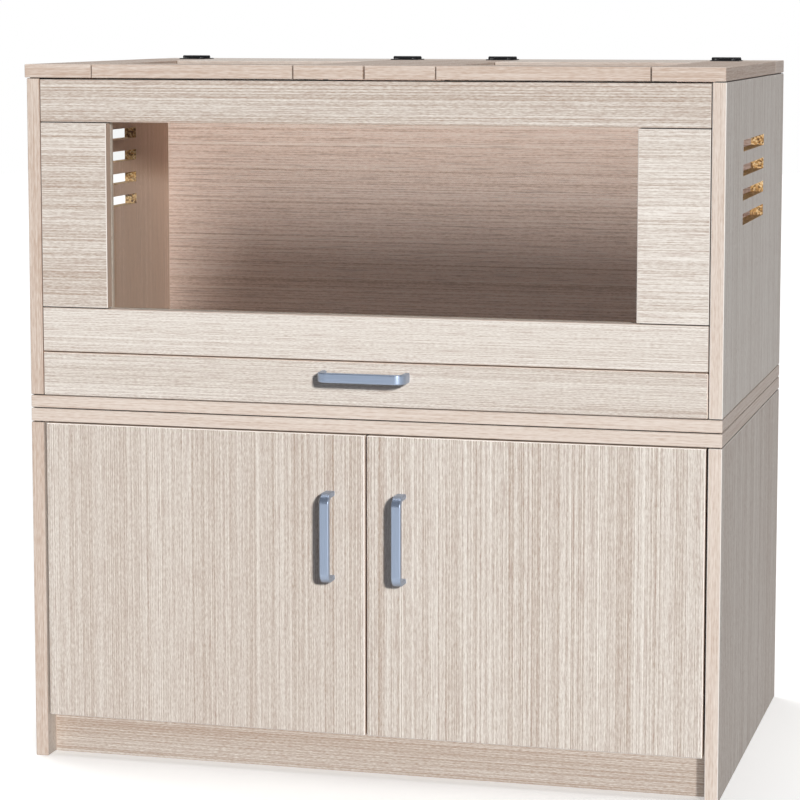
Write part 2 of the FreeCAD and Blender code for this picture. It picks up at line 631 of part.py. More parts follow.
def lids():
    """Two framed mesh lids and their hinges; the fixed leaves and the pins stay with the cage."""
    z = (LID_UNDER, TOP)
    opening_x = (LID_INNER + LID_STILE, HALF - LID_STILE)
    opening_y = (LID_FRONT + LID_FRONT_RAIL, LID_REAR - LID_REAR_RAIL)
    hinge_x = spread(LID_INNER, HALF, LID_HINGE_INSET, 2)
    rail_lines = (BOTH_LINES, NO_LINE, NO_LINE)

    boards = {
        "outer_stile": board((opening_x[1], HALF), (LID_FRONT, LID_REAR), z),
        "inner_stile": board((LID_INNER, opening_x[0]), (LID_FRONT, LID_REAR), z),
        "front_rail": lined_board(opening_x, (LID_FRONT, opening_y[0]), z, rail_lines),
        "rear_rail": lined_board(opening_x, (opening_y[1], LID_REAR), z, rail_lines),
    }
    dowels = []
    for low, high in ((LID_FRONT, opening_y[0]), (opening_y[1], LID_REAR)):
        for y in spread(low, high, 2 * RAIL_DOWEL_MARGIN, 2):
            for x, into in ((opening_x[0], X), (opening_x[1], X * -1)):
                dowels.append(dowel(Vector(x, y, LID_UNDER + BOARD / 2), into, DOWEL_LENGTH / 2))
    pieces = drilled(boards, dowels)
    pieces["mesh"] = lid_mesh(opening_x, opening_y)

    parts = {}
    for name, shape in pieces.items():
        parts.update(both_sides("{}_lid_" + name, shape))
    groups = {"dowels": dowel_solids(dowels), "hinge_leaves": [hinge_leaf(x, -1, 1) for x in hinge_x]}
    for name, solids in groups.items():
        parts["right_lid_" + name] = solids
        parts["left_lid_" + name] = [mirrored(s) for s in solids]
    fixed = [hinge_leaf(x, 1, 0) for x in hinge_x]
    pins = [hinge_pin_rod(x) for x in hinge_x]
    parts["lid_hinge_fixed_leaves"] = fixed + [mirrored(s) for s in fixed]
    parts["lid_hinge_pins"] = pins + [mirrored(s) for s in pins]
    return parts


def export(parts):
    """One STEP file for each node; a list of like pieces becomes one group of solids."""
    os.makedirs("parts", exist_ok=True)
    for name, piece in parts.items():
        shape = Part.makeCompound(piece) if isinstance(piece, list) else piece
        shape.exportStep(f"parts/{name}.step")


def main():
    parts = storage_case()
    parts.update(cage_case())
    join_units(parts)
    for unit in (window, doors, tray, lids):
        parts.update(unit())
    export(parts)


main()
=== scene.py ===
import json
import math

import bpy
from bpy.props import FloatProperty, FloatVectorProperty, IntProperty, PointerProperty
from mathutils import Matrix, Vector


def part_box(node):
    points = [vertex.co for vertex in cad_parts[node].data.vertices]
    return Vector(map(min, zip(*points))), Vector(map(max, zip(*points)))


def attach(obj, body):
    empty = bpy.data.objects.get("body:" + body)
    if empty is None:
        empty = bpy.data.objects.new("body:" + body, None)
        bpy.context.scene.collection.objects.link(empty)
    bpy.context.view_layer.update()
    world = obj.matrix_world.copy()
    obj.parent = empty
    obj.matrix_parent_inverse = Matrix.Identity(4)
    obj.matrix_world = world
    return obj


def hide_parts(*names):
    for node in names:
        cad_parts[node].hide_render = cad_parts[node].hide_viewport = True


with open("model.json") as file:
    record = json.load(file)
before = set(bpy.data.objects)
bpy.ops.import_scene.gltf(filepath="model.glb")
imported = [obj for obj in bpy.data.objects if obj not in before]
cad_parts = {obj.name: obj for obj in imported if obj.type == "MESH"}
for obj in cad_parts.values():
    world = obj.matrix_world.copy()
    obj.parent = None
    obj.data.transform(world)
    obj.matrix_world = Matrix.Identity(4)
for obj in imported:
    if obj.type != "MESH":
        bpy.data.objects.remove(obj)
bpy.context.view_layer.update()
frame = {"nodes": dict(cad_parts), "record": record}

bl_info = {
    "name": "Two-tier cage cabinet",
    "version": (1, 0, 0),
    "blender": (4, 5, 0),
    "location": "View3D > Sidebar > Cabinet",
    "description": "Dresses the packed cage cabinet with laminate, hardware, wire lids and a studio",
    "category": "Object",
}

MM = 0.001
AXES = "XYZ"
SIDES = {"left": -1, "right": 1}
UP = Vector((0, 0, 1))
BACKWARD = Vector((0, 1, 0))
SQUARE_ON = 0.8  # a face whose normal has this much of an axis looks along it
SEED_STEP = 3.7  # apart from board to board in the noise, so that no two prints match
LAYER_STEP = 10.0  # apart from layer to layer in the noise

# Boards by the axis through their thickness and the axis that their grain follows.
BOARDS = {
    ("X", "Z"): ("storage_left_side", "storage_right_side", "cage_left_side", "cage_right_side"),
    ("Y", "Z"): ("left_door", "right_door", "window_side_battens"),
    ("Y", "X"): (
        "plinth_board", "cage_back_board", "top_front_rail", "lower_front_rail", "left_front_panel",
        "right_front_panel", "tray_front", "tray_back", "window_top_batten", "window_bottom_batten",
    ),
    ("Z", "X"): (
        "storage_top_board", "storage_bottom_board", "cage_base_board", "rear_top_board",
        "left_lid_front_rail", "left_lid_rear_rail", "right_lid_front_rail", "right_lid_rear_rail",
    ),
    ("Z", "Y"): (
        "left_lid_outer_stile", "left_lid_inner_stile", "right_lid_outer_stile", "right_lid_inner_stile",
    ),
    ("X", "Y"): ("tray_left_side", "tray_right_side"),
}
# The lids' front and side boards, whose faces and edges are made darker below as painted shade
SHADED_LID_BOARDS = tuple(
    f"{side}_lid_{board}" for side in SIDES for board in ("front_rail", "outer_stile", "inner_stile")
)
# Boards that are darker or paler than the rest, as steps along the print's ramp. Partly painted light: the
# left front boards darker and the right panel paler as the light falls from the right, and the plinth under
# the doors and the lids' boards darker as painted shade.
TONES_AND_SHADES = {
    "top_front_rail": -0.1, "left_front_panel": -0.06, "right_front_panel": 0.1, "left_door": -0.06,
    "plinth_board": -0.25, "lower_front_rail": 0.18, "tray_front": 0.06, "cage_right_side": 0.2,
    **dict.fromkeys(SHADED_LID_BOARDS, -0.35),
}
# The same for edge bands, all made darker as painted shade: on the left sides, on the left front panel's end
# inside the window and on the lids.
EDGE_SHADES = {
    "storage_left_side": -0.25, "cage_left_side": -0.25, "left_front_panel": -0.8,
    **dict.fromkeys(SHADED_LID_BOARDS, -0.25),
}
# Boards whose broken corners get an almost white painted highlight.
HIGHLIT_CORNERS = (
    "left_front_panel", "right_front_panel", "left_door", "right_door", "cage_right_side",
    "storage_right_side",
)
# Sides on which a board's face stops short of its neighbour, by axis and sign. The open joint there and the
# corner beside it are coloured dark, as painted shade.
SHORT_SIDES = {
    ("storage_left_side", "storage_right_side"): (("Z", 1),),
    ("cage_left_side", "cage_right_side"): (("Z", -1), ("Z", 1)),
    ("left_front_panel",): (("X", -1), ("Z", -1), ("Z", 1)),
    ("right_front_panel",): (("X", 1), ("Z", -1), ("Z", 1)),
    ("cage_base_board",): (("Z", -1),),
    ("top_front_rail",): (("X", -1), ("X", 1), ("Z", 1)),
    (
        "lower_front_rail", "left_lid_front_rail", "left_lid_rear_rail", "right_lid_front_rail",
        "right_lid_rear_rail",
    ): (("X", -1), ("X", 1)),
}
VENTED = {"cage_left_side": "left_vent", "cage_right_side": "right_vent"}
# Faces inside the cage: the sign of their normal along the board's thickness and their tone. They get the
# inner print, painted paler and warmer as painted warm light, and the side walls a darker tone as painted
# shade.
INNER_FACES = {"cage_left_side": (1, -0.75), "cage_right_side": (-1, -0.75), "cage_back_board": (-1, 0.0)}
# Nodes that lamps of their own light or that shade one of them.
BACK_WALL = ("cage_back_board",)
PULLED_FRONTS = ("left_door", "right_door", "tray_front")
WINDOW_FRAME = ("lower_front_rail", "right_front_panel", "tray_front", "cage_base_board")
BATTENS = ("window_top_batten", "window_bottom_batten", "window_side_battens")
# Hardboard is bare on one side: the axis of its thickness and the sign of that side.
BARE_HARDBOARD = {"storage_back_panel": ("Y", 1), "tray_floor": ("Z", -1)}
DOWELS = (
    "storage_dowels", "cage_dowels", "locating_dowels", "tray_dowels", "left_lid_dowels",
    "right_lid_dowels",
)
BLACK_NODES = (
    "lid_hinge_fixed_leaves", "left_lid_hinge_leaves", "right_lid_hinge_leaves", "lid_hinge_pins",
)
NICKEL_NODES = (
    "door_hinge_arms", "door_hinge_plates", "left_door_hinge_cups", "right_door_hinge_cups",
    "left_door_hinge_pins", "right_door_hinge_pins",
)
ZINC_NODES = ("left_door_handle_screws", "right_door_handle_screws", "tray_handle_screws")
HANDLES = {"left_door_handle": "left_door", "right_door_handle": "right_door", "tray_handle": "tray"}

# How much finer the streaks and lines of a print are than those of the inner faces.
FINENESS = {"upright": 1.8, "level": 1.6, "inner": 1.0}
# The part of the summed noise that a pattern's colours are spread over: a narrow one gives more contrast.
PRINT_SPAN = (0.385, 0.615)
BAND_SPAN = (0.31, 0.69)
FIBRE_SPAN = (0.34, 0.66)
PORE_SPAN = (0.56, 0.72)
PORE_COVER = 0.55
# Bare hardboard's clumps and single fibres: length, width and weight.
FIBRE_LAYERS = ((7 * MM, 5 * MM, 0.5), (1.6 * MM, 1.2 * MM, 0.5))
FIBRE_SWAY = (50 * MM, 50 * MM, 5 * MM)
JOINT_SLACK = 0.02 * MM  # keeps the shade of a joint off the face beside it
VENT_MARGIN = 1 * MM  # round the stated vents, to reach their cut edges
BEECH_FLECK = 1.5 * MM
LAMINATE_ROUGHNESS = (0.74, 0.64)  # of the dark streaks and the pale ones
MARK_SPAN = (0.3, 0.7)  # part of the noise that the marks on a metal are spread over
MARK_SHADES = (0.86, 1.08)  # dullest and brightest marks, as shares of the metal's colour
SMEAR_SPAN = (0.35, 0.75)
PANE_ROUGHNESS = (0.01, 0.07)  # clean and smeared

BOW_CORNERS = 4  # two feet and two bends of a bowed bar
BEND_STEPS = 12
EDGE_STEPS = 4
STAPLE_SOFTENING = 0.15 * MM
WIRE_SIDES = 8
WELD_DEPTH = 0.8  # distance between the two layers of wire, as a share of the wire's diameter
HEAD_SIDES = 20
HEAD_TOP = 0.36  # radius of a screw head's flat top, as a share of its diameter
ARM_WIDTH = 0.24  # width of a cross recess's arm, as a share of its length
CUTTER_LIFT = 0.9  # how far the recess's cutter is raised, as a share of the head's height
SCREW_RECESS = 0.55  # length of a recess's arm, as a share of the head's diameter
NAIL_RECESS = 0.3  # the same for the dimple of a nail
LEAF_SCREWS = 0.3  # distance of a lid hinge's screws from its middle, as a share of its length
# Screws of the window's strips: margin at both ends and number.
BATTEN_SCREWS = {"upright": (40 * MM, 3), "level": (60 * MM, 5)}
NAILS = 7
NAIL_MARGIN = 50 * MM
NAIL_HEIGHT = 7 * MM  # above the thin back's lower edge

FLOOR_POINTS = 96
VIEW_REACH = 100  # farthest distance that the camera sees, in metres
# Lamps: tilt from straight down, turn to the right and spread of the rays, in degrees.
LAMPS = {
    "key": (80, 27, 5), "front": (96, 6, 24), "pulls": (71, 33, 6), "overhead": (0, 0, 20),
    "rear": (62, 232, 40), "inner": (103, -4, 24),
}
# Boards that a lamp lights alone or leaves out. The cage's back wall has a lamp of its own, so that the hard
# shadow of the window's frame stays out of the cage. The fronts with handles have one too, a single one,
# which keeps the handles' shadows dark.
LIT = {
    "key": (BACK_WALL + PULLED_FRONTS, "EXCLUDE"),
    "front": (BACK_WALL + PULLED_FRONTS, "EXCLUDE"),
    "pulls": (PULLED_FRONTS, "INCLUDE"),
    "inner": (BACK_WALL, "INCLUDE"),
}


def linear(code):
    """An sRGB hex colour as the linear RGBA that sockets and colour properties hold."""
    parts = [int(code[i:i + 2], 16) / 255 for i in (1, 3, 5)]
    return tuple(c / 12.92 if c <= 0.04045 else ((c + 0.055) / 1.055) ** 2.4 for c in parts) + (1.0,)


def colour(name, description, code):
    """A colour property whose default is a hex value."""
    return FloatVectorProperty(
        name=name, description=description, subtype="COLOR", size=4, min=0, max=1, default=linear(code)
    )


def length(name, description, millimetres):
    """A length property whose default is given in millimetres."""
    return FloatProperty(
        name=name, description=description, default=millimetres * MM, min=0, precision=5, unit="LENGTH"
    )


def strength(name, description, amount):
    """A property for the strength of a lamp or a glow."""
    return FloatProperty(name=name, description=description, default=amount, min=0)


class BoardSettings(bpy.types.PropertyGroup):
    """Printed melamine board, its edge band and the thin hardboard."""

    print_dark: colour("Darkest streak", "Brown of the sharpest printed streaks", "#AF9886")
    print_mid: colour("Ground", "Greige that covers most of the print", "#D8CDC1")
    print_pale: colour("Palest streak", "Almost white lines between the streaks", "#F5EEE4")
    pore: colour("Pore", "Reddish brown of the printed pores", "#A98C7D")
    # Painted highlight: the broken corners of some boards are coloured almost white
    corner_highlight: colour("Worn corner", "Almost white line along the scraped corners", "#FFF8EF")
    # The inner colours are the same print painted paler and warmer: painted warm light inside the cage
    inner_dark: colour("Inner streak", "Brown streaks of the faces inside the cage", "#CDAF9A")
    inner_mid: colour("Inner ground", "Warmer ground of the faces inside the cage", "#F4DBCE")
    inner_pale: colour("Inner light", "Palest lines of the faces inside the cage", "#FCECE2")
    band_dark: colour("Band line", "Fine lines of the edge band", "#C5AC99")
    band_mid: colour("Band ground", "Peach ground of the edge band", "#DFCFC1")
    band_pale: colour("Band light", "Palest lines of the edge band", "#EEE1D5")
    # Painted shade: the depth of the open joints and the corner beside them are coloured near black
    joint: colour("Joint", "Depth of the open joints between boards, out of the light", "#140F0C")
    joint_shade_width: length("Joint width", "Width of the open joints with their shaded corner", 1.3)
    chip_dark: colour("Dark chips", "Darker chips of the cut board", "#5E4028")
    chip_mid: colour("Ochre chips", "Ochre chips of the cut board", "#CC9C5C")
    chip_pale: colour("Pale chips", "Paler chips of the cut board", "#F9DFAE")
    fibre_dark: colour("Dark fibre", "Darker fibres of the bare hardboard", "#6F5238")
    fibre_pale: colour("Pale fibre", "Paler fibres of the bare hardboard", "#A98562")
    cloud_length: length("Cloud length", "Length of a broad change of tone", 900.0)
    cloud_width: length("Cloud width", "Width of a broad change of tone", 24.0)
    streak_length: length("Streak length", "Length of a printed streak", 800.0)
    streak_width: length("Streak width", "Width of a printed streak", 2.6)
    line_length: length("Line length", "Length of a fine printed line", 1600.0)
    line_width: length("Line width", "Width of a fine printed line", 1.3)
    dash_length: length("Dash length", "Length of the dashes that break up the lines", 5.0)
    pore_length: length("Pore length", "Length of a printed pore", 40.0)
    pore_width: length("Pore width", "Width of a printed pore", 0.8)
    sway_length: length("Sway length", "Length of a bend in the streaks", 400.0)
    sway_width: length("Sway width", "Width over which the streaks bend alike", 50.0)
    print_sway: length("Print sway", "How far the printed streaks bend", 1.0)
    print_relief: length("Print relief", "Depth of the pressed pores", 0.2)
    band_line: length("Band line width", "Width of a line in the edge band", 1.2)
    band_sway: length("Band sway", "How far the lines of the edge band bend", 2.0)
    chip: length("Chip", "Size of a chip in the cut board", 1.6)


class HardwareSettings(bpy.types.PropertyGroup):
    """Handles, hinges, screws and the window."""

    handle_thick: length("Handle thickness", "Thickness of the handle's bar", 6.0)
    handle_bend: length("Handle bend", "Outer radius of the handle's bends", 12.0)
    handle_softening: length("Handle softening", "Rounding along the bar's edges", 1.4)
    satin_length: length("Satin line length", "Length of a line in the handles' finish", 30.0)
    satin_width: length("Satin line width", "Width of a line in the handles' finish", 0.4)
    screw_head: length("Screw head", "Diameter of the larger screw heads", 7.0)
    screw_rise: length("Screw rise", "Height of the larger screw heads", 1.6)
    hinge_screw_head: length("Lid hinge screw head", "Diameter of the screws in the lid hinges", 5.6)
    hinge_screw_rise: length("Lid hinge screw rise", "Height of the screws in the lid hinges", 1.0)
    nail_head: length("Nail head", "Diameter of the nails in the thin back", 3.6)
    nail_rise: length("Nail rise", "Height of the nails' heads", 0.6)
    hinge_length: length("Lid hinge length", "Length of one lid hinge along its pin", 35.0)
    leaf: length("Leaf", "Thickness of a lid hinge's leaf", 1.2)
    leaf_flat: length("Leaf flat", "Free width of a leaf beside its barrel", 13.4)
    cup_rim: length("Cup rim", "Diameter of a concealed hinge's rim", 38.0)
    flange: length("Flange", "Length of a concealed hinge's flange", 60.0)
    plate_height: length("Plate height", "Height of a hinge's mounting plate", 44.0)
    plate_thick: length("Plate thickness", "Thickness of a hinge's mounting plate", 6.0)
    screw_inset: length("Screw inset", "End of a flange or plate to its screw", 6.0)
    smear: length("Smear", "Size of the faint smears on the pane", 120.0)
    # Grey of the aluminium, tinted blue as a painted reflection of bluish surroundings
    anodised: colour("Anodised", "Satin aluminium of the handles", "#A0AEC3")
    black: colour("Black lacquer", "Lacquer of the lid hinges", "#1B1B1D")
    nickel: colour("Nickel", "Plating of the concealed hinges", "#C9C6C0")
    zinc: colour("Zinc", "Plating of the screws", "#BEC2C4")


class LidWireSettings(bpy.types.PropertyGroup):
    """Welded wire in the lids and the staples that hold it."""

    wire: length("Wire", "Diameter of the mesh wire", 1.2)
    pitch: length("Pitch", "Distance from wire to wire", 14.0)
    staple_wire: length("Staple wire", "Thickness of a staple", 0.9)
    staple_crown: length("Staple crown", "Width of a staple over its legs", 9.0)
    staples: IntProperty(name="Staples", description="Staples round each mesh", default=20, min=4)
    galvanised: colour("Galvanised", "Zinc coat of the wire", "#A7ACAE")


class StageSettings(bpy.types.PropertyGroup):
    """Camera, lamps and floor."""

    camera_at: FloatVectorProperty(
        name="Camera", description="Where the camera stands", subtype="XYZ", unit="LENGTH",
        default=(0.8136, -3.1655, 0.8583),
    )
    turn: FloatProperty(
        name="Turn", description="Camera's turn to the left", subtype="ANGLE", default=math.radians(14.8)
    )
    tilt: FloatProperty(
        name="Tilt", description="Camera's tilt downwards", subtype="ANGLE", default=math.radians(6.21)
    )
    lens: FloatProperty(name="Lens", description="Focal length in millimetres", default=123.65, min=1)
    shift: FloatProperty(name="Shift", description="Vertical shift of the lens", default=-0.105)
    key: strength("Key", "Strength of the low light from the right", 2.0)
    front: strength("Front", "Strength of the soft light in front", 1.05)
    pulls: strength("Pulls", "Strength of the light on the fronts with handles", 3.5)
    inner: strength("Inner", "Strength of the light on the cage's back wall", 1.95)
    overhead: strength("Overhead", "Strength of the light from above", 1.25)
    rear: strength("Rear", "Strength of the light from behind", 1.5)
    ambient: strength("Ambient", "Strength of the pale surroundings", 0.16)
    surroundings: colour("Surroundings", "Tint of the pale surroundings", "#E9EFFF")
    backdrop: colour("Backdrop", "White that the camera sees behind the floor", "#FFFFFF")
    floor: colour("Floor", "Pale matt floor", "#ECEBE9")
    floor_glow: strength("Floor glow", "Light that the floor gives off", 0.46)
    floor_reach: length("Floor reach", "Radius of the floor", 12000.0)


def add(tree, kind, links=(), stops=(), **settings):
    """Adds a node; links gives each input, by name or number, a value or the socket that feeds it.

    stops are pairs of place and colour for a colour ramp.
    """
    made = tree.nodes.new(kind)
    for name, value in settings.items():
        setattr(made, name, value)
    for key, value in dict(links).items():
        if isinstance(value, bpy.types.NodeSocket):
            tree.links.new(value, made.inputs[key])
        else:
            made.inputs[key].default_value = value
    for i, (place, shade) in enumerate(stops):
        elements = made.color_ramp.elements
        element = elements[i] if i < len(elements) else elements.new(place)
        element.position, element.color = place, shade
    return made


def new_tree(name, kind, inputs, outputs):
    """An empty node group with named sockets; returns it with its input and output sockets."""
    tree = bpy.data.node_groups.new(name, kind)
    for direction, sockets in (("INPUT", inputs), ("OUTPUT", outputs)):
        for socket, socket_kind in sockets.items():
            tree.interface.new_socket(socket, in_out=direction, socket_type="NodeSocket" + socket_kind)
    return tree, tree.nodes.new("NodeGroupInput").outputs, tree.nodes.new("NodeGroupOutput").inputs


def new_material(name):
    """A material with an empty node tree."""
    material = bpy.data.materials.new(name)
    material.use_nodes = True
    material.node_tree.nodes.clear()
    return material, material.node_tree


def stretched_noise(tree, place, streak_length, streak_width, layer, detail):
    """Noise drawn out along the first axis of a place given in metres; layer keeps the noises apart."""
    scaled = add(
        tree, "ShaderNodeVectorMath",
        {0: place, 1: (1 / streak_length, 1 / streak_width, 1), 2: (0, 0, LAYER_STEP * layer)},
        operation="MULTIPLY_ADD",
    )
    noise = add(tree, "ShaderNodeTexNoise", {"Vector": scaled.outputs[0], "Scale": 1.0, "Detail": detail})
    return noise.outputs["Fac"]


def grain_group(name, layers, span, stops, sway, pores=None):
    """Shader group of a printed grain.

    Along and Across are metres on the face. Each layer is the length and width of a streak in metres and
    its weight. span is the part of the summed noise that the colour stops are spread over. sway is the
    length and width of the bends in the streaks and how far they go. pores are the length and width of
    the pores, their colour and how much of it covers the print.
    """
    tree, given, result = new_tree(
        name, "ShaderNodeTree", {"Along": "Float", "Across": "Float", "Seed": "Float", "Tone": "Float"},
        {"Colour": "Color", "Relief": "Float"},
    )
    straight = add(tree, "ShaderNodeCombineXYZ", {0: given["Along"], 1: given["Across"], 2: given["Seed"]})
    drift = stretched_noise(tree, straight.outputs[0], sway[0], sway[1], len(layers), 1.0)
    bent = add(
        tree, "ShaderNodeMath", {0: drift, 1: sway[2], 2: given["Across"]}, operation="MULTIPLY_ADD"
    )
    swaying = add(tree, "ShaderNodeCombineXYZ", {0: given["Along"], 1: bent.outputs[0], 2: given["Seed"]})
    total = 0.0
    for i, (streak_length, streak_width, weight) in enumerate(layers):
        noise = stretched_noise(tree, swaying.outputs[0], streak_length, streak_width, i, 2.0)
        total = add(
            tree, "ShaderNodeMath", {0: noise, 1: weight, 2: total}, operation="MULTIPLY_ADD"
        ).outputs[0]
    spread = add(tree, "ShaderNodeMapRange", {"Value": total, "From Min": span[0], "From Max": span[1]})
    toned = add(tree, "ShaderNodeMath", {0: spread.outputs[0], 1: given["Tone"]}, operation="ADD")
    shade = add(tree, "ShaderNodeValToRGB", {"Fac": toned.outputs[0]}, stops).outputs["Color"]
    relief = spread.outputs[0]
    if pores:
        pore_length, pore_width, pore_colour, cover = pores
        noise = stretched_noise(tree, swaying.outputs[0], pore_length, pore_width, len(layers) + 1, 1.0)
        pore = add(
            tree, "ShaderNodeMapRange",
            {"Value": noise, "From Min": PORE_SPAN[0], "From Max": PORE_SPAN[1], "To Max": cover},
        )
        shade = add(
            tree, "ShaderNodeMix", {0: pore.outputs[0], 6: shade, 7: pore_colour}, data_type="RGBA"
        ).outputs[2]
        relief = add(
            tree, "ShaderNodeMath", {0: relief, 1: pore.outputs[0]}, operation="SUBTRACT"
        ).outputs[0]
    tree.links.new(shade, result["Colour"])
    tree.links.new(relief, result["Relief"])
    return tree


def printed_grain(paint, name, stops, fineness):
    """Streaked melamine print: pale and brown lines that run the length of a board, broken up by dashes."""
    line = paint.line_width / fineness
    layers = (
        (paint.cloud_length, paint.cloud_width, 0.08),
        (paint.streak_length, paint.streak_width / fineness, 0.14),
        (paint.line_length, line, 0.48),
        (paint.dash_length, line, 0.30),
    )
    sway = (paint.sway_length, paint.sway_width, paint.print_sway)
    pores = (paint.pore_length, paint.pore_width, paint.pore, PORE_COVER)
    return grain_group(name, layers, PRINT_SPAN, stops, sway, pores)


def surface_groups(paint):
    """The patterns that the boards are made of, by name."""
    outer = ((0.0, paint.print_dark), (0.5, paint.print_mid), (1.0, paint.print_pale))
    # Painted warm light: the print inside the cage is paler and warmer than outside
    inner = ((0.0, paint.inner_dark), (0.5, paint.inner_mid), (1.0, paint.inner_pale))
    band = ((0.0, paint.band_dark), (0.5, paint.band_mid), (1.0, paint.band_pale))
    fibre = ((0.0, paint.fibre_dark), (1.0, paint.fibre_pale))
    # Broad lines of the band, fine ones and short dashes: length, width and weight
    band_layers = (
        (300 * MM, 2 * paint.band_line, 0.25),
        (100 * MM, paint.band_line, 0.35),
        (10 * MM, paint.band_line, 0.40),
    )
    band_sway = (paint.sway_length, paint.sway_width, paint.band_sway)
    return {
        "upright": printed_grain(paint, "Upright print", outer, FINENESS["upright"]),
        "level": printed_grain(paint, "Level print", outer, FINENESS["level"]),
        "inner": printed_grain(paint, "Inner print", inner, FINENESS["inner"]),
        "band": grain_group("Edge band", band_layers, BAND_SPAN, band, band_sway),
        # Felted fibres of the bare side of hardboard, drawn coarser than real ones so that they show
        "fibre": grain_group("Pressed fibre", FIBRE_LAYERS, FIBRE_SPAN, fibre, FIBRE_SWAY),
        "chips": chip_group(paint),
    }


def chip_group(paint):
    """Cut particle board: flat chips a few millimetres long, glued in all directions."""
    tree, given, result = new_tree("Chips", "ShaderNodeTree", {"Place": "Vector"}, {"Colour": "Color"})
    chips = add(
        tree, "ShaderNodeTexVoronoi", {"Vector": given["Place"], "Scale": 1 / paint.chip, "Randomness": 1.0}
    )
    tone = add(tree, "ShaderNodeSeparateColor", {0: chips.outputs["Color"]})
    shade = add(
        tree, "ShaderNodeValToRGB", {"Fac": tone.outputs[0]},
        ((0.0, paint.chip_dark), (0.5, paint.chip_mid), (1.0, paint.chip_pale)),
    )
    tree.links.new(shade.outputs["Color"], result["Colour"])
    return tree


def looks_along(tree, facing, axis):
    """1 on the faces that look along an axis, either way, else 0."""
    size = add(tree, "ShaderNodeMath", {0: facing[axis]}, operation="ABSOLUTE")
    along = add(tree, "ShaderNodeMath", {0: size.outputs[0], 1: SQUARE_ON}, operation="GREATER_THAN")
    return along.outputs[0]


def painted_joint_shade(tree, place, facing, joints):
    """1 where the open joints get painted shade, each given as an axis, the sign of its side and where it
    starts, else 0.

    The faces that close a joint look along its axis and are left out, as they show when a lid is open.
    """
    inside = 0.0
    for axis, sign, start in joints:
        outward = add(tree, "ShaderNodeMath", {0: place[axis], 1: sign}, operation="MULTIPLY")
        past = add(
            tree, "ShaderNodeMath", {0: outward.outputs[0], 1: sign * start}, operation="GREATER_THAN"
        )
        seen = add(
            tree, "ShaderNodeMath", {0: past.outputs[0], 1: looks_along(tree, facing, axis)},
            operation="SUBTRACT",
        )
        inside = add(
            tree, "ShaderNodeMath", {0: inside, 1: seen.outputs[0]}, operation="MAXIMUM"
        ).outputs[0]
    return inside


def core_region(tree, place, slots):
    """1 inside the ranges of Y and Z where a cut shows the board's core, else 0."""
    inside = 1.0
    for axis, (low, high) in zip("YZ", slots):
        within = add(
            tree, "ShaderNodeMath", {0: place[axis], 1: (low + high) / 2, 2: (high - low) / 2},
            operation="COMPARE",
        )
        inside = add(
            tree, "ShaderNodeMath", {0: inside, 1: within.outputs[0]}, operation="MULTIPLY"
        ).outputs[0]
    return inside


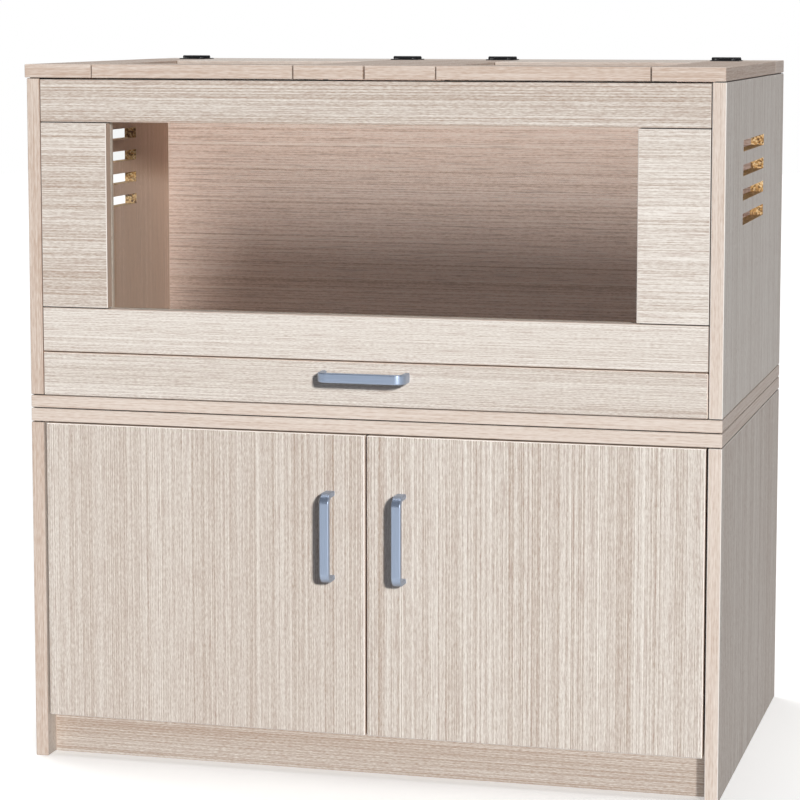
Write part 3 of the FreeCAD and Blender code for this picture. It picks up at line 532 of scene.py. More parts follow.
def board_material(
    name, axes, groups, seed, paint, tones_and_shades=(0.0, 0.0), corners=None, slots=None, reverse=None, joints=()
):
    """Melamine faced particle board: printed streaks on the faces, a peach band round the edges.

    axes are those of the thickness and the grain. The tones of the faces and of the edge band are steps
    along the print's ramp, partly painted light and shade.
    corners is the colour of a painted highlight on the broken corners, where it isn't the band's.
    slots are ranges of Y and Z in which the cut core shows.
    reverse is the sign of the face along the thickness that has a pattern of its own, with that pattern
    and its tone.
    joints are the open joints, which get painted shade: a thin dark line between two boards.
    """
    through, grain = axes
    cross = next(a for a in AXES if a not in axes)
    material, tree = new_material(name)
    texture = add(tree, "ShaderNodeTexCoord").outputs
    place = add(tree, "ShaderNodeSeparateXYZ", {0: texture["Object"]}).outputs
    facing = add(tree, "ShaderNodeSeparateXYZ", {0: texture["Normal"]}).outputs
    face, end, side = (looks_along(tree, facing, axis) for axis in (through, grain, cross))

    on_face = {"Along": place[grain], "Across": place[cross], "Seed": seed, "Tone": tones_and_shades[0]}
    streaks = add(
        tree, "ShaderNodeGroup", on_face, node_tree=groups["upright" if grain == "Z" else "level"]
    ).outputs
    face_shade, face_relief = streaks["Colour"], streaks["Relief"]
    if reverse:
        sign, pattern, reverse_tone = reverse
        turned = add(tree, "ShaderNodeMath", {0: facing[through], 1: sign}, operation="MULTIPLY")
        behind = add(tree, "ShaderNodeMath", {0: turned.outputs[0], 1: SQUARE_ON}, operation="GREATER_THAN")
        other = add(
            tree, "ShaderNodeGroup", {**on_face, "Tone": reverse_tone}, node_tree=groups[pattern]
        ).outputs
        face_shade = add(
            tree, "ShaderNodeMix", {0: behind.outputs[0], 6: face_shade, 7: other["Colour"]},
            data_type="RGBA",
        ).outputs[2]
        face_relief = add(
            tree, "ShaderNodeMix", {0: behind.outputs[0], 2: face_relief, 3: other["Relief"]}
        ).outputs[0]

    along = add(tree, "ShaderNodeMix", {0: end, 2: place[grain], 3: place[cross]}).outputs[0]
    band = add(
        tree, "ShaderNodeGroup", {"Along": along, "Across": place[through], "Seed": seed, "Tone": tones_and_shades[1]},
        node_tree=groups["band"],
    ).outputs
    edge = band["Colour"]
    # The broken corners between the faces and the band get the painted highlight
    if corners:
        square = add(tree, "ShaderNodeMath", {0: end, 1: side}, operation="MAXIMUM")
        edge = add(
            tree, "ShaderNodeMix", {0: square.outputs[0], 6: corners, 7: edge}, data_type="RGBA"
        ).outputs[2]
    if slots:
        chips = add(tree, "ShaderNodeGroup", {"Place": texture["Object"]}, node_tree=groups["chips"])
        edge = add(
            tree, "ShaderNodeMix",
            {0: core_region(tree, place, slots), 6: edge, 7: chips.outputs["Colour"]}, data_type="RGBA",
        ).outputs[2]
    shade = add(tree, "ShaderNodeMix", {0: face, 6: edge, 7: face_shade}, data_type="RGBA").outputs[2]
    # Painted shade in the open joints and on the corner beside them
    if joints:
        shade = add(
            tree, "ShaderNodeMix", {0: painted_joint_shade(tree, place, facing, joints), 6: shade, 7: paint.joint},
            data_type="RGBA",
        ).outputs[2]
    relief = add(tree, "ShaderNodeMix", {0: face, 2: band["Relief"], 3: face_relief}).outputs[0]
    dull, bright = LAMINATE_ROUGHNESS
    gloss = add(tree, "ShaderNodeMapRange", {"Value": relief, "To Min": dull, "To Max": bright})
    bump = add(
        tree, "ShaderNodeBump", {"Strength": 0.1, "Distance": paint.print_relief, "Height": relief}
    )
    laminate = add(
        tree, "ShaderNodeBsdfPrincipled",
        {"Base Color": shade, "Roughness": gloss.outputs[0], "IOR": 1.5, "Normal": bump.outputs[0]},
    )
    add(tree, "ShaderNodeOutputMaterial", {"Surface": laminate.outputs[0]})
    return material


def metal_material(name, base, roughness, variation, stretch, bump_depth, metallic=1.0):
    """Metal with fine marks: stretch is the length of a mark along each axis in metres."""
    material, tree = new_material(name)
    texture = add(tree, "ShaderNodeTexCoord").outputs
    stretched = add(
        tree, "ShaderNodeVectorMath", {0: texture["Object"], 1: tuple(1 / s for s in stretch)},
        operation="MULTIPLY",
    )
    marks = add(tree, "ShaderNodeTexNoise", {"Vector": stretched.outputs[0], "Scale": 1.0, "Detail": 3.0})
    mark = marks.outputs["Fac"]
    shades = [tuple(min(1, c * share) for c in base[:3]) + (1.0,) for share in MARK_SHADES]
    tone = add(tree, "ShaderNodeValToRGB", {"Fac": mark}, zip(MARK_SPAN, shades))
    rough = add(
        tree, "ShaderNodeMapRange",
        {"Value": mark, "From Min": MARK_SPAN[0], "From Max": MARK_SPAN[1],
         "To Min": roughness - variation, "To Max": roughness + variation},
    )
    bump = add(tree, "ShaderNodeBump", {"Strength": 0.2, "Distance": bump_depth, "Height": mark})
    metal = add(
        tree, "ShaderNodeBsdfPrincipled",
        {"Base Color": tone.outputs["Color"], "Metallic": metallic, "Roughness": rough.outputs[0],
         "Normal": bump.outputs[0]},
    )
    add(tree, "ShaderNodeOutputMaterial", {"Surface": metal.outputs[0]})
    return material


def acrylic_material(kit):
    """Extruded clear acrylic: nearly invisible head on, with a thin gloss that grows at a slant."""
    material, tree = new_material("Clear acrylic")
    texture = add(tree, "ShaderNodeTexCoord").outputs
    smears = add(
        tree, "ShaderNodeTexNoise", {"Vector": texture["Object"], "Scale": 1 / kit.smear, "Detail": 4.0}
    )
    clean, smeared = PANE_ROUGHNESS
    haze = add(
        tree, "ShaderNodeMapRange",
        {"Value": smears.outputs["Fac"], "From Min": SMEAR_SPAN[0], "From Max": SMEAR_SPAN[1],
         "To Min": clean, "To Max": smeared},
    )
    gloss = add(tree, "ShaderNodeFresnel", {"IOR": 1.49})
    # Rays go straight through the sheet, so the far faces must not turn them back from inside
    inside = add(tree, "ShaderNodeNewGeometry").outputs["Backfacing"]
    outer = add(
        tree, "ShaderNodeMath", {0: gloss.outputs[0], 1: inside}, operation="SUBTRACT", use_clamp=True
    )
    clear = add(tree, "ShaderNodeBsdfTransparent", {"Color": linear("#FCFDFC")})
    mirror = add(tree, "ShaderNodeBsdfAnisotropic", {"Roughness": haze.outputs[0]})
    sheet = add(
        tree, "ShaderNodeMixShader", {0: outer.outputs[0], 1: clear.outputs[0], 2: mirror.outputs[0]}
    )
    add(tree, "ShaderNodeOutputMaterial", {"Surface": sheet.outputs[0]})
    return material


def beech_material():
    """Turned beech: warm pinkish wood with short dark flecks along the dowel."""
    material, tree = new_material("Turned beech")
    texture = add(tree, "ShaderNodeTexCoord").outputs
    flecks = add(
        tree, "ShaderNodeTexNoise", {"Vector": texture["Object"], "Scale": 1 / BEECH_FLECK, "Detail": 3.0}
    )
    shade = add(
        tree, "ShaderNodeValToRGB", {"Fac": flecks.outputs["Fac"]},
        ((0.3, linear("#B98A5E")), (0.7, linear("#E0BC92"))),
    )
    beech = add(tree, "ShaderNodeBsdfPrincipled", {"Base Color": shade.outputs["Color"], "Roughness": 0.6})
    add(tree, "ShaderNodeOutputMaterial", {"Surface": beech.outputs[0]})
    return material


def dressed(node, material):
    """Gives a CAD node its material."""
    slots = frame["nodes"][node].material_slots
    if not slots:
        raise RuntimeError(f"{node} has no material slot")
    for slot in slots:
        slot.material = material


def grown(name, tree, sizes, base=None):
    """Runs a geometry tree with its sizes and returns a plain mesh object of that name."""
    piece = bpy.data.objects.new(name, base or bpy.data.meshes.new(name + "_base"))
    bpy.context.scene.collection.objects.link(piece)
    maker = piece.modifiers.new(tree.name, "NODES")
    maker.node_group = tree
    for item in tree.interface.items_tree:
        if item.in_out == "INPUT" and item.name in sizes:
            maker[item.identifier] = sizes[item.name]
    shown = piece.evaluated_get(bpy.context.evaluated_depsgraph_get())
    mesh = bpy.data.meshes.new_from_object(shown)
    if not mesh.polygons:
        raise RuntimeError(f"{tree.name} made no faces for {name}")
    piece.modifiers.remove(maker)
    piece.data = mesh
    mesh.name = name
    return piece


def finished(tree, geometry, finish, result):
    """Ends a geometry tree: real faces, then their material."""
    whole = add(tree, "GeometryNodeRealizeInstances", {0: geometry})
    done = add(tree, "GeometryNodeSetMaterial", {0: whole.outputs[0], "Material": finish})
    tree.links.new(done.outputs[0], result["Geometry"])
    return tree


def bow_tree():
    """A bar bent to a U: feet on the XZ plane, bow towards -Y, with softened edges."""
    tree, given, result = new_tree(
        "Bow", "GeometryNodeTree",
        {"Centres": "Float", "Reach": "Float", "Width": "Float", "Thickness": "Float", "Bend": "Float",
         "Softening": "Float", "Finish": "Material"},
        {"Geometry": "Geometry"},
    )
    path = add(tree, "GeometryNodeMeshLine", {"Count": BOW_CORNERS})
    number = add(tree, "GeometryNodeInputIndex").outputs[0]
    from_middle = add(
        tree, "ShaderNodeMath", {0: number, 1: (BOW_CORNERS - 1) / 2}, operation="SUBTRACT"
    ).outputs[0]
    side = add(tree, "ShaderNodeMath", {0: from_middle}, operation="SIGN").outputs[0]
    half = add(tree, "ShaderNodeMath", {0: given["Centres"], 1: 0.5}, operation="MULTIPLY").outputs[0]
    x = add(tree, "ShaderNodeMath", {0: side, 1: half}, operation="MULTIPLY").outputs[0]
    bow = add(tree, "ShaderNodeMath", {0: from_middle, 1: 0.0, 2: 1.0}, operation="COMPARE").outputs[0]
    half_bar = add(tree, "ShaderNodeMath", {0: given["Thickness"], 1: 0.5}, operation="MULTIPLY").outputs[0]
    depth = add(tree, "ShaderNodeMath", {0: half_bar, 1: given["Reach"]}, operation="SUBTRACT").outputs[0]
    y = add(tree, "ShaderNodeMath", {0: bow, 1: depth}, operation="MULTIPLY").outputs[0]
    corner = add(tree, "ShaderNodeCombineXYZ", {0: x, 1: y})
    placed = add(tree, "GeometryNodeSetPosition", {0: path.outputs[0], "Position": corner.outputs[0]})
    line = add(tree, "GeometryNodeMeshToCurve", {0: placed.outputs[0]})
    middle_bend = add(
        tree, "ShaderNodeMath", {0: given["Bend"], 1: half_bar}, operation="SUBTRACT"
    ).outputs[0]
    bent = add(
        tree, "GeometryNodeFilletCurve",
        {0: line.outputs[0], "Radius": middle_bend, "Count": BEND_STEPS}, mode="POLY",
    )
    section = add(
        tree, "GeometryNodeCurvePrimitiveQuadrilateral",
        {"Width": given["Thickness"], "Height": given["Width"]},
    )
    soft = add(
        tree, "GeometryNodeFilletCurve",
        {0: section.outputs[0], "Radius": given["Softening"], "Count": EDGE_STEPS}, mode="POLY",
    )
    bar = add(
        tree, "GeometryNodeCurveToMesh", {0: bent.outputs[0], 1: soft.outputs[0], "Fill Caps": True}
    )
    smooth = add(tree, "GeometryNodeSetShadeSmooth", {0: bar.outputs[0], "Shade Smooth": True})
    return finished(tree, smooth.outputs[0], given["Finish"], result)


def wire_tree():
    """Welded mesh: straight round wires in two layers, the lengthwise ones on top."""
    tree, given, result = new_tree(
        "Welded mesh", "GeometryNodeTree",
        {"Columns": "Int", "Rows": "Int", "Pitch": "Float", "Wire": "Float", "Weld": "Float",
         "Finish": "Material"},
        {"Geometry": "Geometry"},
    )
    radius = add(tree, "ShaderNodeMath", {0: given["Wire"], 1: 0.5}, operation="MULTIPLY").outputs[0]
    joined = add(tree, "GeometryNodeJoinGeometry")
    for count, other, axis in ((given["Columns"], given["Rows"], 0), (given["Rows"], given["Columns"], 1)):
        gaps = add(tree, "ShaderNodeMath", {0: count, 1: 1.0}, operation="SUBTRACT").outputs[0]
        other_gaps = add(tree, "ShaderNodeMath", {0: other, 1: 1.0}, operation="SUBTRACT").outputs[0]
        start = add(tree, "ShaderNodeMath", {0: gaps, 1: given["Pitch"]}, operation="MULTIPLY").outputs[0]
        start = add(tree, "ShaderNodeMath", {0: start, 1: -0.5}, operation="MULTIPLY").outputs[0]
        drop = add(
            tree, "ShaderNodeMath", {0: given["Weld"], 1: -float(axis)}, operation="MULTIPLY"
        ).outputs[0]
        first = add(tree, "ShaderNodeCombineXYZ", {axis: start, 2: drop})
        step = add(tree, "ShaderNodeCombineXYZ", {axis: given["Pitch"]})
        places = add(
            tree, "GeometryNodeMeshLine",
            {"Count": count, "Start Location": first.outputs[0], "Offset": step.outputs[0]}, mode="OFFSET",
        )
        reach = add(
            tree, "ShaderNodeMath", {0: other_gaps, 1: given["Pitch"], 2: given["Wire"]},
            operation="MULTIPLY_ADD",
        ).outputs[0]
        rod = add(
            tree, "GeometryNodeMeshCylinder", {"Vertices": WIRE_SIDES, "Radius": radius, "Depth": reach}
        )
        turn = (math.pi / 2, 0, 0) if axis == 0 else (0, math.pi / 2, 0)
        rods = add(
            tree, "GeometryNodeInstanceOnPoints",
            {"Points": places.outputs[0], "Instance": rod.outputs["Mesh"], "Rotation": turn},
        )
        tree.links.new(rods.outputs[0], joined.inputs[0])
    return finished(tree, joined.outputs[0], given["Finish"], result)


def staple_tree(bow):
    """Staples set across the outermost wires, evenly round a rectangle, legs upwards."""
    tree, given, result = new_tree(
        "Staples", "GeometryNodeTree",
        {"Width": "Float", "Depth": "Float", "Count": "Int", "Crown": "Float", "Leg": "Float",
         "Wire": "Float", "Finish": "Material"},
        {"Geometry": "Geometry"},
    )
    border = add(
        tree, "GeometryNodeCurvePrimitiveQuadrilateral", {"Width": given["Width"], "Height": given["Depth"]}
    )
    places = add(
        tree, "GeometryNodeCurveToPoints", {0: border.outputs[0], "Count": given["Count"]}, mode="COUNT"
    )
    across = add(
        tree, "FunctionNodeAlignRotationToVector", {"Vector": places.outputs["Tangent"]}, axis="Z"
    )
    upright = add(
        tree, "FunctionNodeAlignRotationToVector",
        {"Rotation": across.outputs[0], "Vector": UP}, axis="Y", pivot_axis="Z",
    )
    staple = add(
        tree, "GeometryNodeGroup",
        {"Centres": given["Crown"], "Reach": given["Leg"], "Finish": given["Finish"],
         "Width": given["Wire"], "Thickness": given["Wire"], "Bend": given["Wire"],
         "Softening": STAPLE_SOFTENING},
        node_tree=bow,
    )
    set_in = add(
        tree, "GeometryNodeInstanceOnPoints",
        {"Points": places.outputs[0], "Instance": staple.outputs[0], "Rotation": upright.outputs[0]},
    )
    return finished(tree, set_in.outputs[0], given["Finish"], result)


def screw_tree():
    """Low screw heads with a cross recess, set on points whose facing attribute is the way they look."""
    tree, given, result = new_tree(
        "Screw heads", "GeometryNodeTree",
        {"Geometry": "Geometry", "Head": "Float", "Rise": "Float", "Recess": "Float", "Finish": "Material"},
        {"Geometry": "Geometry"},
    )
    rim, top = (
        add(tree, "ShaderNodeMath", {0: given["Head"], 1: share}, operation="MULTIPLY").outputs[0]
        for share in (0.5, HEAD_TOP)
    )
    head = add(
        tree, "GeometryNodeMeshCone",
        {"Vertices": HEAD_SIDES, "Radius Top": top, "Radius Bottom": rim, "Depth": given["Rise"]},
    )
    long_arm = add(
        tree, "ShaderNodeMath", {0: given["Head"], 1: given["Recess"]}, operation="MULTIPLY"
    ).outputs[0]
    short_arm = add(tree, "ShaderNodeMath", {0: long_arm, 1: ARM_WIDTH}, operation="MULTIPLY").outputs[0]
    cross = add(tree, "GeometryNodeMeshBoolean", {}, operation="UNION")
    for arm in ({0: long_arm, 1: short_arm}, {0: short_arm, 1: long_arm}):
        size = add(tree, "ShaderNodeCombineXYZ", {**arm, 2: given["Rise"]})
        bar = add(tree, "GeometryNodeMeshCube", {"Size": size.outputs[0]})
        tree.links.new(bar.outputs["Mesh"], cross.inputs["Mesh 2"])
    above = add(tree, "ShaderNodeMath", {0: given["Rise"], 1: CUTTER_LIFT}, operation="MULTIPLY").outputs[0]
    lift = add(tree, "ShaderNodeCombineXYZ", {2: above})
    raised = add(tree, "GeometryNodeTransform", {0: cross.outputs[0], "Translation": lift.outputs[0]})
    cut = add(
        tree, "GeometryNodeMeshBoolean", {"Mesh 1": head.outputs["Mesh"], "Mesh 2": raised.outputs[0]},
        operation="DIFFERENCE",
    )
    facing = add(tree, "GeometryNodeInputNamedAttribute", {"Name": "facing"}, data_type="FLOAT_VECTOR")
    aligned = add(
        tree, "FunctionNodeAlignRotationToVector", {"Vector": facing.outputs[0]}, axis="Z"
    )
    heads = add(
        tree, "GeometryNodeInstanceOnPoints",
        {"Points": given["Geometry"], "Instance": cut.outputs[0], "Rotation": aligned.outputs[0]},
    )
    return finished(tree, heads.outputs[0], given["Finish"], result)


def screws(name, body, places, sizes):
    """Screw heads at pairs of point and facing, riding on a body."""
    points = bpy.data.meshes.new(name + "_points")
    points.from_pydata([point for point, _ in places], [], [])
    facing = points.attributes.new("facing", "FLOAT_VECTOR", "POINT")
    for item, (_, way) in zip(facing.data, places):
        item.vector = way
    tree = bpy.data.node_groups.get("Screw heads") or screw_tree()
    piece = grown(name, tree, sizes, points)
    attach(piece, body)


def evenly(low, high, margin, count):
    """count places from low to high that keep a margin at both ends."""
    step = (high - low - 2 * margin) / (count - 1)
    return [low + margin + step * i for i in range(count)]


def gathered(name, nodes, state):
    """A collection of CAD nodes that a lamp takes in or leaves out."""
    group = bpy.data.collections.new(name)
    for node in nodes:
        group.objects.link(frame["nodes"][node])
    for item in group.collection_objects:
        item.light_linking.link_state = state
    return group


class CABINET_OT_boards(bpy.types.Operator):
    """Lays the printed laminate, its edge bands and the hardboard on every board"""

    bl_idname = "cabinet.boards"
    bl_label = "Boards"

    def execute(self, context):
        paint = context.scene.cabinet_boards
        groups = surface_groups(paint)
        openings = frame["record"]["physics"]["openings"]
        boards = [(node, axes) for axes, nodes in BOARDS.items() for node in nodes]
        boards += [(node, (through, "X")) for node, (through, _) in BARE_HARDBOARD.items()]
        short_sides = {node: sides for nodes, sides in SHORT_SIDES.items() for node in nodes}
        for i, (node, axes) in enumerate(boards):
            slots = None
            if node in VENTED:
                vents = [o["box_m"] for o in openings if o["name"].startswith(VENTED[node])]
                slots = [
                    (min(low[a] for low, _ in vents) - VENT_MARGIN,
                     max(high[a] for _, high in vents) + VENT_MARGIN)
                    for a in (1, 2)
                ]
            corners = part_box(node)
            # The painted shade of a joint reaches this far in from the board's short side
            depth = paint.joint_shade_width - JOINT_SLACK
            joints = [
                (axis, sign, corners[sign > 0][AXES.index(axis)] - sign * depth)
                for axis, sign in short_sides.get(node, ())
            ]
            reverse = None
            # The faces inside the cage take the inner print and its tone: painted warm light and painted
            # shade
            if node in INNER_FACES:
                sign, inner_tone = INNER_FACES[node]
                reverse = (sign, "inner", inner_tone)
            elif node in BARE_HARDBOARD:
                reverse = (BARE_HARDBOARD[node][1], "fibre", 0.0)
            material = "Hardboard " if node in BARE_HARDBOARD else "Melamine board "
            # Steps of tone for the faces and the edge band, partly painted light and shade
            tones_and_shades = (TONES_AND_SHADES.get(node, 0.0), EDGE_SHADES.get(node, 0.0))
            # An almost white painted highlight on the broken corners of the boards that face the light
            corner_highlight = paint.corner_highlight if node in HIGHLIT_CORNERS else None
            finish = board_material(
                material + node, axes, groups, SEED_STEP * i, paint, tones_and_shades, corner_highlight, slots, reverse, joints
            )
            dressed(node, finish)
        beech = beech_material()
        for node in DOWELS:
            dressed(node, beech)
        return {"FINISHED"}


class CABINET_OT_window(bpy.types.Operator):
    """Makes the window pane clear"""

    bl_idname = "cabinet.window"
    bl_label = "Window"

    def execute(self, context):
        dressed("window_pane", acrylic_material(context.scene.cabinet_hardware))
        return {"FINISHED"}


class CABINET_OT_handles(bpy.types.Operator):
    """Bends the three aluminium bow handles"""

    bl_idname = "cabinet.handles"
    bl_label = "Handles"

    def execute(self, context):
        kit = context.scene.cabinet_hardware
        tree = bow_tree()
        for node, body in HANDLES.items():
            low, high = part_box(node)
            upright = high.z - low.z > high.x - low.x
            span = max(high.z - low.z, high.x - low.x)
            # Satin anodised: a soft sheen with faint lines along the bar, tinted bluish as a painted
            # reflection of bluish surroundings. Real lines are far finer, and these are drawn coarser so
            # that they show
            lines = [kit.satin_width] * 3
            lines[2 if upright else 0] = kit.satin_length
            satin = metal_material(
                "Satin anodised aluminium " + node, kit.anodised, roughness=0.36, variation=0.05,
                stretch=lines, bump_depth=0.02 * MM, metallic=0.85,
            )
            piece = grown(
                node + "_bow", tree,
                {"Centres": span - kit.handle_thick, "Reach": high.y - low.y,
                 "Width": min(high.z - low.z, high.x - low.x), "Thickness": kit.handle_thick,
                 "Bend": kit.handle_bend, "Softening": kit.handle_softening, "Finish": satin},
            )
            turn = Matrix.Rotation(math.pi / 2, 4, "Y") if upright else Matrix.Identity(4)
            middle = (low + high) / 2
            piece.data.transform(Matrix.Translation((middle.x, high.y, middle.z)) @ turn)
            even = piece.modifiers.new("Even flats", "WEIGHTED_NORMAL")
            even.keep_sharp = True
            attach(piece, body)
            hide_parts(node)
        return {"FINISHED"}


class CABINET_OT_hinges(bpy.types.Operator):
    """Finishes the lid hinges and concealed hinges and sets their screws"""

    bl_idname = "cabinet.hinges"
    bl_label = "Hinges"

    def execute(self, context):
        kit = context.scene.cabinet_hardware
        # Lacquered: nearly black, with a soft gloss over a fine orange peel
        black = metal_material(
            "Black lacquered steel", kit.black, roughness=0.38, variation=0.08, stretch=(1.2 * MM,) * 3,
            bump_depth=0.03 * MM, metallic=0.0,
        )
        # Bright nickel plate: a warm mirror, slightly clouded
        nickel = metal_material(
            "Nickel plated steel", kit.nickel, roughness=0.24, variation=0.06, stretch=(4 * MM,) * 3,
            bump_depth=0.01 * MM,
        )
        # Zinc plate: bluish grey and duller, with small blotches
        zinc = metal_material(
            "Zinc plated steel", kit.zinc, roughness=0.34, variation=0.08, stretch=(2 * MM,) * 3,
            bump_depth=0.01 * MM,
        )
        for nodes, finish in ((BLACK_NODES, black), (NICKEL_NODES, nickel), (ZINC_NODES, zinc)):
            for node in nodes:
                dressed(node, finish)

        small = {
            "Head": kit.hinge_screw_head, "Rise": kit.hinge_screw_rise, "Recess": SCREW_RECESS,
            "Finish": black,
        }
        large = {"Head": kit.screw_head, "Rise": kit.screw_rise, "Recess": SCREW_RECESS, "Finish": zinc}
        flat = {"Head": kit.nail_head, "Rise": kit.nail_rise, "Recess": NAIL_RECESS, "Finish": zinc}
        spacing = kit.hinge_length * LEAF_SCREWS
        _, fixed_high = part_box("lid_hinge_fixed_leaves")
        plate_low, plate_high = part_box("door_hinge_plates")
        plate_x, plate_y = plate_high.x - kit.plate_thick, (plate_low.y + plate_high.y) / 2
        ear, wing = kit.flange / 2 - kit.screw_inset, kit.plate_height / 2 - kit.screw_inset
        fixed, plates = [], []
        for side, hand in SIDES.items():
            low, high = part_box(side + "_lid_hinge_leaves")
            top = low.z + kit.leaf
            centres = (low.x + kit.hinge_length / 2, high.x - kit.hinge_length / 2)
            xs = [x + offset for x in centres for offset in (-spacing, spacing)]
            moving = [(Vector((x, low.y + kit.leaf_flat / 2, top)), UP) for x in xs]
            fixed += [(Vector((x, fixed_high.y - kit.leaf_flat / 2, top)), UP) for x in xs]
            screws(side + "_lid_hinge_screws", side + "_lid", moving, small)

            low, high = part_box(side + "_door_hinge_cups")
            cup_x = low.x + kit.cup_rim / 2 if hand > 0 else high.x - kit.cup_rim / 2
            middles = (low.z + kit.flange / 2, high.z - kit.flange / 2)
            ears = [
                (Vector((cup_x, high.y, z + offset)), BACKWARD)
                for z in middles for offset in (-ear, ear)
            ]
            plates += [
                (Vector((hand * plate_x, plate_y, z + offset)), Vector((-hand, 0, 0)))
                for z in middles for offset in (-wing, wing)
            ]
            screws(side + "_door_hinge_screws", side + "_door", ears, large)
        screws("fixed_leaf_screws", "case", fixed, small)
        screws("hinge_plate_screws", "case", plates, large)

        battens = []
        for node in BATTENS:
            low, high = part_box(node)
            if high.z - low.z > kit.flange:
                inset = (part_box(BATTENS[0])[1].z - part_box(BATTENS[0])[0].z) / 2
                heights = evenly(low.z, high.z, *BATTEN_SCREWS["upright"])
                places = [(x, z) for x in (low.x + inset, high.x - inset) for z in heights]
            else:
                across = evenly(low.x, high.x, *BATTEN_SCREWS["level"])
                places = [(x, (low.z + high.z) / 2) for x in across]
            battens += [(Vector((x, high.y, z)), BACKWARD) for x, z in places]
        screws("batten_screws", "case", battens, large)

        low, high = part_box("storage_back_panel")
        nails = [
            (Vector((x, high.y, low.z + NAIL_HEIGHT)), BACKWARD)
            for x in evenly(low.x, high.x, NAIL_MARGIN, NAILS)
        ]
        screws("back_panel_nails", "case", nails, flat)
        return {"FINISHED"}


class CABINET_OT_lid_wires(bpy.types.Operator):
    """Welds the wire mesh of both lids and staples it to their frames"""

    bl_idname = "cabinet.lid_wires"
    bl_label = "Lid mesh"

    def execute(self, context):
        wires = context.scene.cabinet_wires
        mesh_tree = wire_tree()
        staples = staple_tree(bpy.data.node_groups["Bow"])
        # Hot-dipped zinc: grey wire, unevenly dull along its length
        galvanised = metal_material(
            "Galvanised wire", wires.galvanised, roughness=0.42, variation=0.1, stretch=(5 * MM,) * 3,
            bump_depth=0.02 * MM,
        )
        weld = WELD_DEPTH * wires.wire
        for side in SIDES:
            node = side + "_lid_mesh"
            low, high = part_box(node)
            columns, rows = (round((high[i] - low[i] - wires.wire) / wires.pitch) + 1 for i in (0, 1))
            middle = (low + high) / 2
            piece = grown(
                node + "_wires", mesh_tree,
                {"Columns": columns, "Rows": rows, "Pitch": wires.pitch, "Wire": wires.wire, "Weld": weld,
                 "Finish": galvanised},
            )
            piece.data.transform(Matrix.Translation((middle.x, middle.y, high.z - wires.wire / 2)))
            piece.data.shade_smooth()
            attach(piece, side + "_lid")
            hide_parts(node)
            row = grown(
                side + "_lid_staples", staples,
                {"Width": (columns - 1) * wires.pitch, "Depth": (rows - 1) * wires.pitch,
                 "Count": wires.staples, "Crown": wires.staple_crown, "Wire": wires.staple_wire,
                 "Leg": wires.wire + weld + wires.staple_wire, "Finish": galvanised},
            )
            row.data.transform(Matrix.Translation((middle.x, middle.y, high.z)))
            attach(row, side + "_lid")
        return {"FINISHED"}


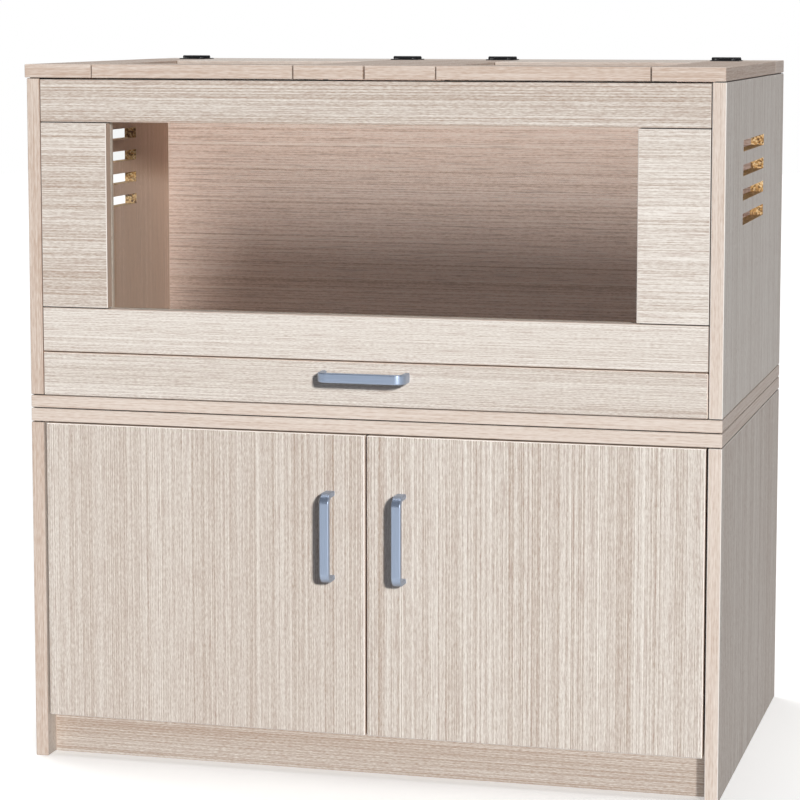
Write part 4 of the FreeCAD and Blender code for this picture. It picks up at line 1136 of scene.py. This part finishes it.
class CABINET_OT_stage(bpy.types.Operator):
    """Sets the floor, the soft lamps and the camera"""

    bl_idname = "cabinet.stage"
    bl_label = "Stage"

    def execute(self, context):
        stage = context.scene.cabinet_stage
        scene = context.scene
        scene.view_settings.view_transform = "Standard"

        floor_mesh = bpy.data.meshes.new("floor")
        turns = [2 * math.pi * i / FLOOR_POINTS for i in range(FLOOR_POINTS)]
        floor_mesh.from_pydata(
            [(stage.floor_reach * math.cos(a), stage.floor_reach * math.sin(a), 0) for a in turns], [],
            [range(len(turns))],
        )
        floor = bpy.data.objects.new("floor", floor_mesh)
        scene.collection.objects.link(floor)
        material, tree = new_material("Matt pale floor")
        matt = add(
            tree, "ShaderNodeBsdfPrincipled",
            {"Base Color": stage.floor, "Roughness": 0.9, "Emission Color": stage.floor,
             "Emission Strength": stage.floor_glow},
        )
        add(tree, "ShaderNodeOutputMaterial", {"Surface": matt.outputs[0]})
        floor_mesh.materials.append(material)
        # The white floor would wash out the upright faces if its light came back to them, and it would
        # cut off the lower half of the level light in front
        floor.visible_diffuse = False
        floor.visible_shadow = False

        world = scene.world or bpy.data.worlds.new("Studio")
        scene.world = world
        world.use_nodes = True
        sky = world.node_tree
        sky.nodes.clear()
        seen = add(sky, "ShaderNodeBackground", {"Color": stage.backdrop, "Strength": 1.0})
        light = add(sky, "ShaderNodeBackground", {"Color": stage.surroundings, "Strength": stage.ambient})
        ray = add(sky, "ShaderNodeLightPath")
        both = add(
            sky, "ShaderNodeMixShader",
            {0: ray.outputs["Is Camera Ray"], 1: light.outputs[0], 2: seen.outputs[0]},
        )
        add(sky, "ShaderNodeOutputWorld", {"Surface": both.outputs[0]})

        for name, (tilt, turn, spread) in LAMPS.items():
            lamp = bpy.data.lights.new(name, "SUN")
            lamp.energy = getattr(stage, name)
            lamp.angle = math.radians(spread)
            holder = bpy.data.objects.new(name, lamp)
            holder.rotation_euler = (math.radians(tilt), 0, math.radians(turn))
            # The low lamps in front would stand in the pane as white patches
            holder.visible_glossy = name not in ("front", "inner")
            scene.collection.objects.link(holder)
            links = holder.light_linking
            if name in LIT:
                links.receiver_collection = gathered(name + "_lights", *LIT[name])
            if name == "inner":
                links.blocker_collection = gathered(name + "_shades", WINDOW_FRAME, "INCLUDE")

        lens = bpy.data.cameras.new("camera")
        lens.lens = stage.lens
        lens.shift_y = stage.shift
        lens.clip_end = VIEW_REACH
        camera = bpy.data.objects.new("camera", lens)
        camera.location = stage.camera_at
        camera.rotation_euler = (math.pi / 2 - stage.tilt, 0, stage.turn)
        scene.collection.objects.link(camera)
        scene.camera = camera
        return {"FINISHED"}


class CABINET_PT_sidebar(bpy.types.Panel):
    """Lists the settings and the operators"""

    bl_label = "Cage cabinet"
    bl_idname = "CABINET_PT_sidebar"
    bl_space_type = "VIEW_3D"
    bl_region_type = "UI"
    bl_category = "Cabinet"

    def draw(self, context):
        for group in SETTINGS:
            box = self.layout.box()
            box.label(text=group)
            settings = getattr(context.scene, group)
            for name in settings.__annotations__:
                box.prop(settings, name)
        for operator in OPERATORS:
            self.layout.operator(operator.bl_idname)


SETTINGS = {
    "cabinet_boards": BoardSettings,
    "cabinet_hardware": HardwareSettings,
    "cabinet_wires": LidWireSettings,
    "cabinet_stage": StageSettings,
}
OPERATORS = (
    CABINET_OT_stage,
    CABINET_OT_boards,
    CABINET_OT_window,
    CABINET_OT_handles,
    CABINET_OT_hinges,
    CABINET_OT_lid_wires,
)


def register():
    """Registers the classes and gives the scene its settings."""
    for cls in (*SETTINGS.values(), *OPERATORS, CABINET_PT_sidebar):
        bpy.utils.register_class(cls)
    for name, cls in SETTINGS.items():
        setattr(bpy.types.Scene, name, PointerProperty(type=cls))


def unregister():
    """Takes the settings and the classes away again."""
    for name in SETTINGS:
        delattr(bpy.types.Scene, name)
    for cls in (CABINET_PT_sidebar, *reversed(OPERATORS), *SETTINGS.values()):
        bpy.utils.unregister_class(cls)


def main():
    """Dresses the cabinet."""
    register()
    bpy.ops.cabinet.stage()
    bpy.ops.cabinet.boards()
    bpy.ops.cabinet.window()
    bpy.ops.cabinet.handles()
    bpy.ops.cabinet.hinges()
    bpy.ops.cabinet.lid_wires()


if __name__ == "__main__":
    main()
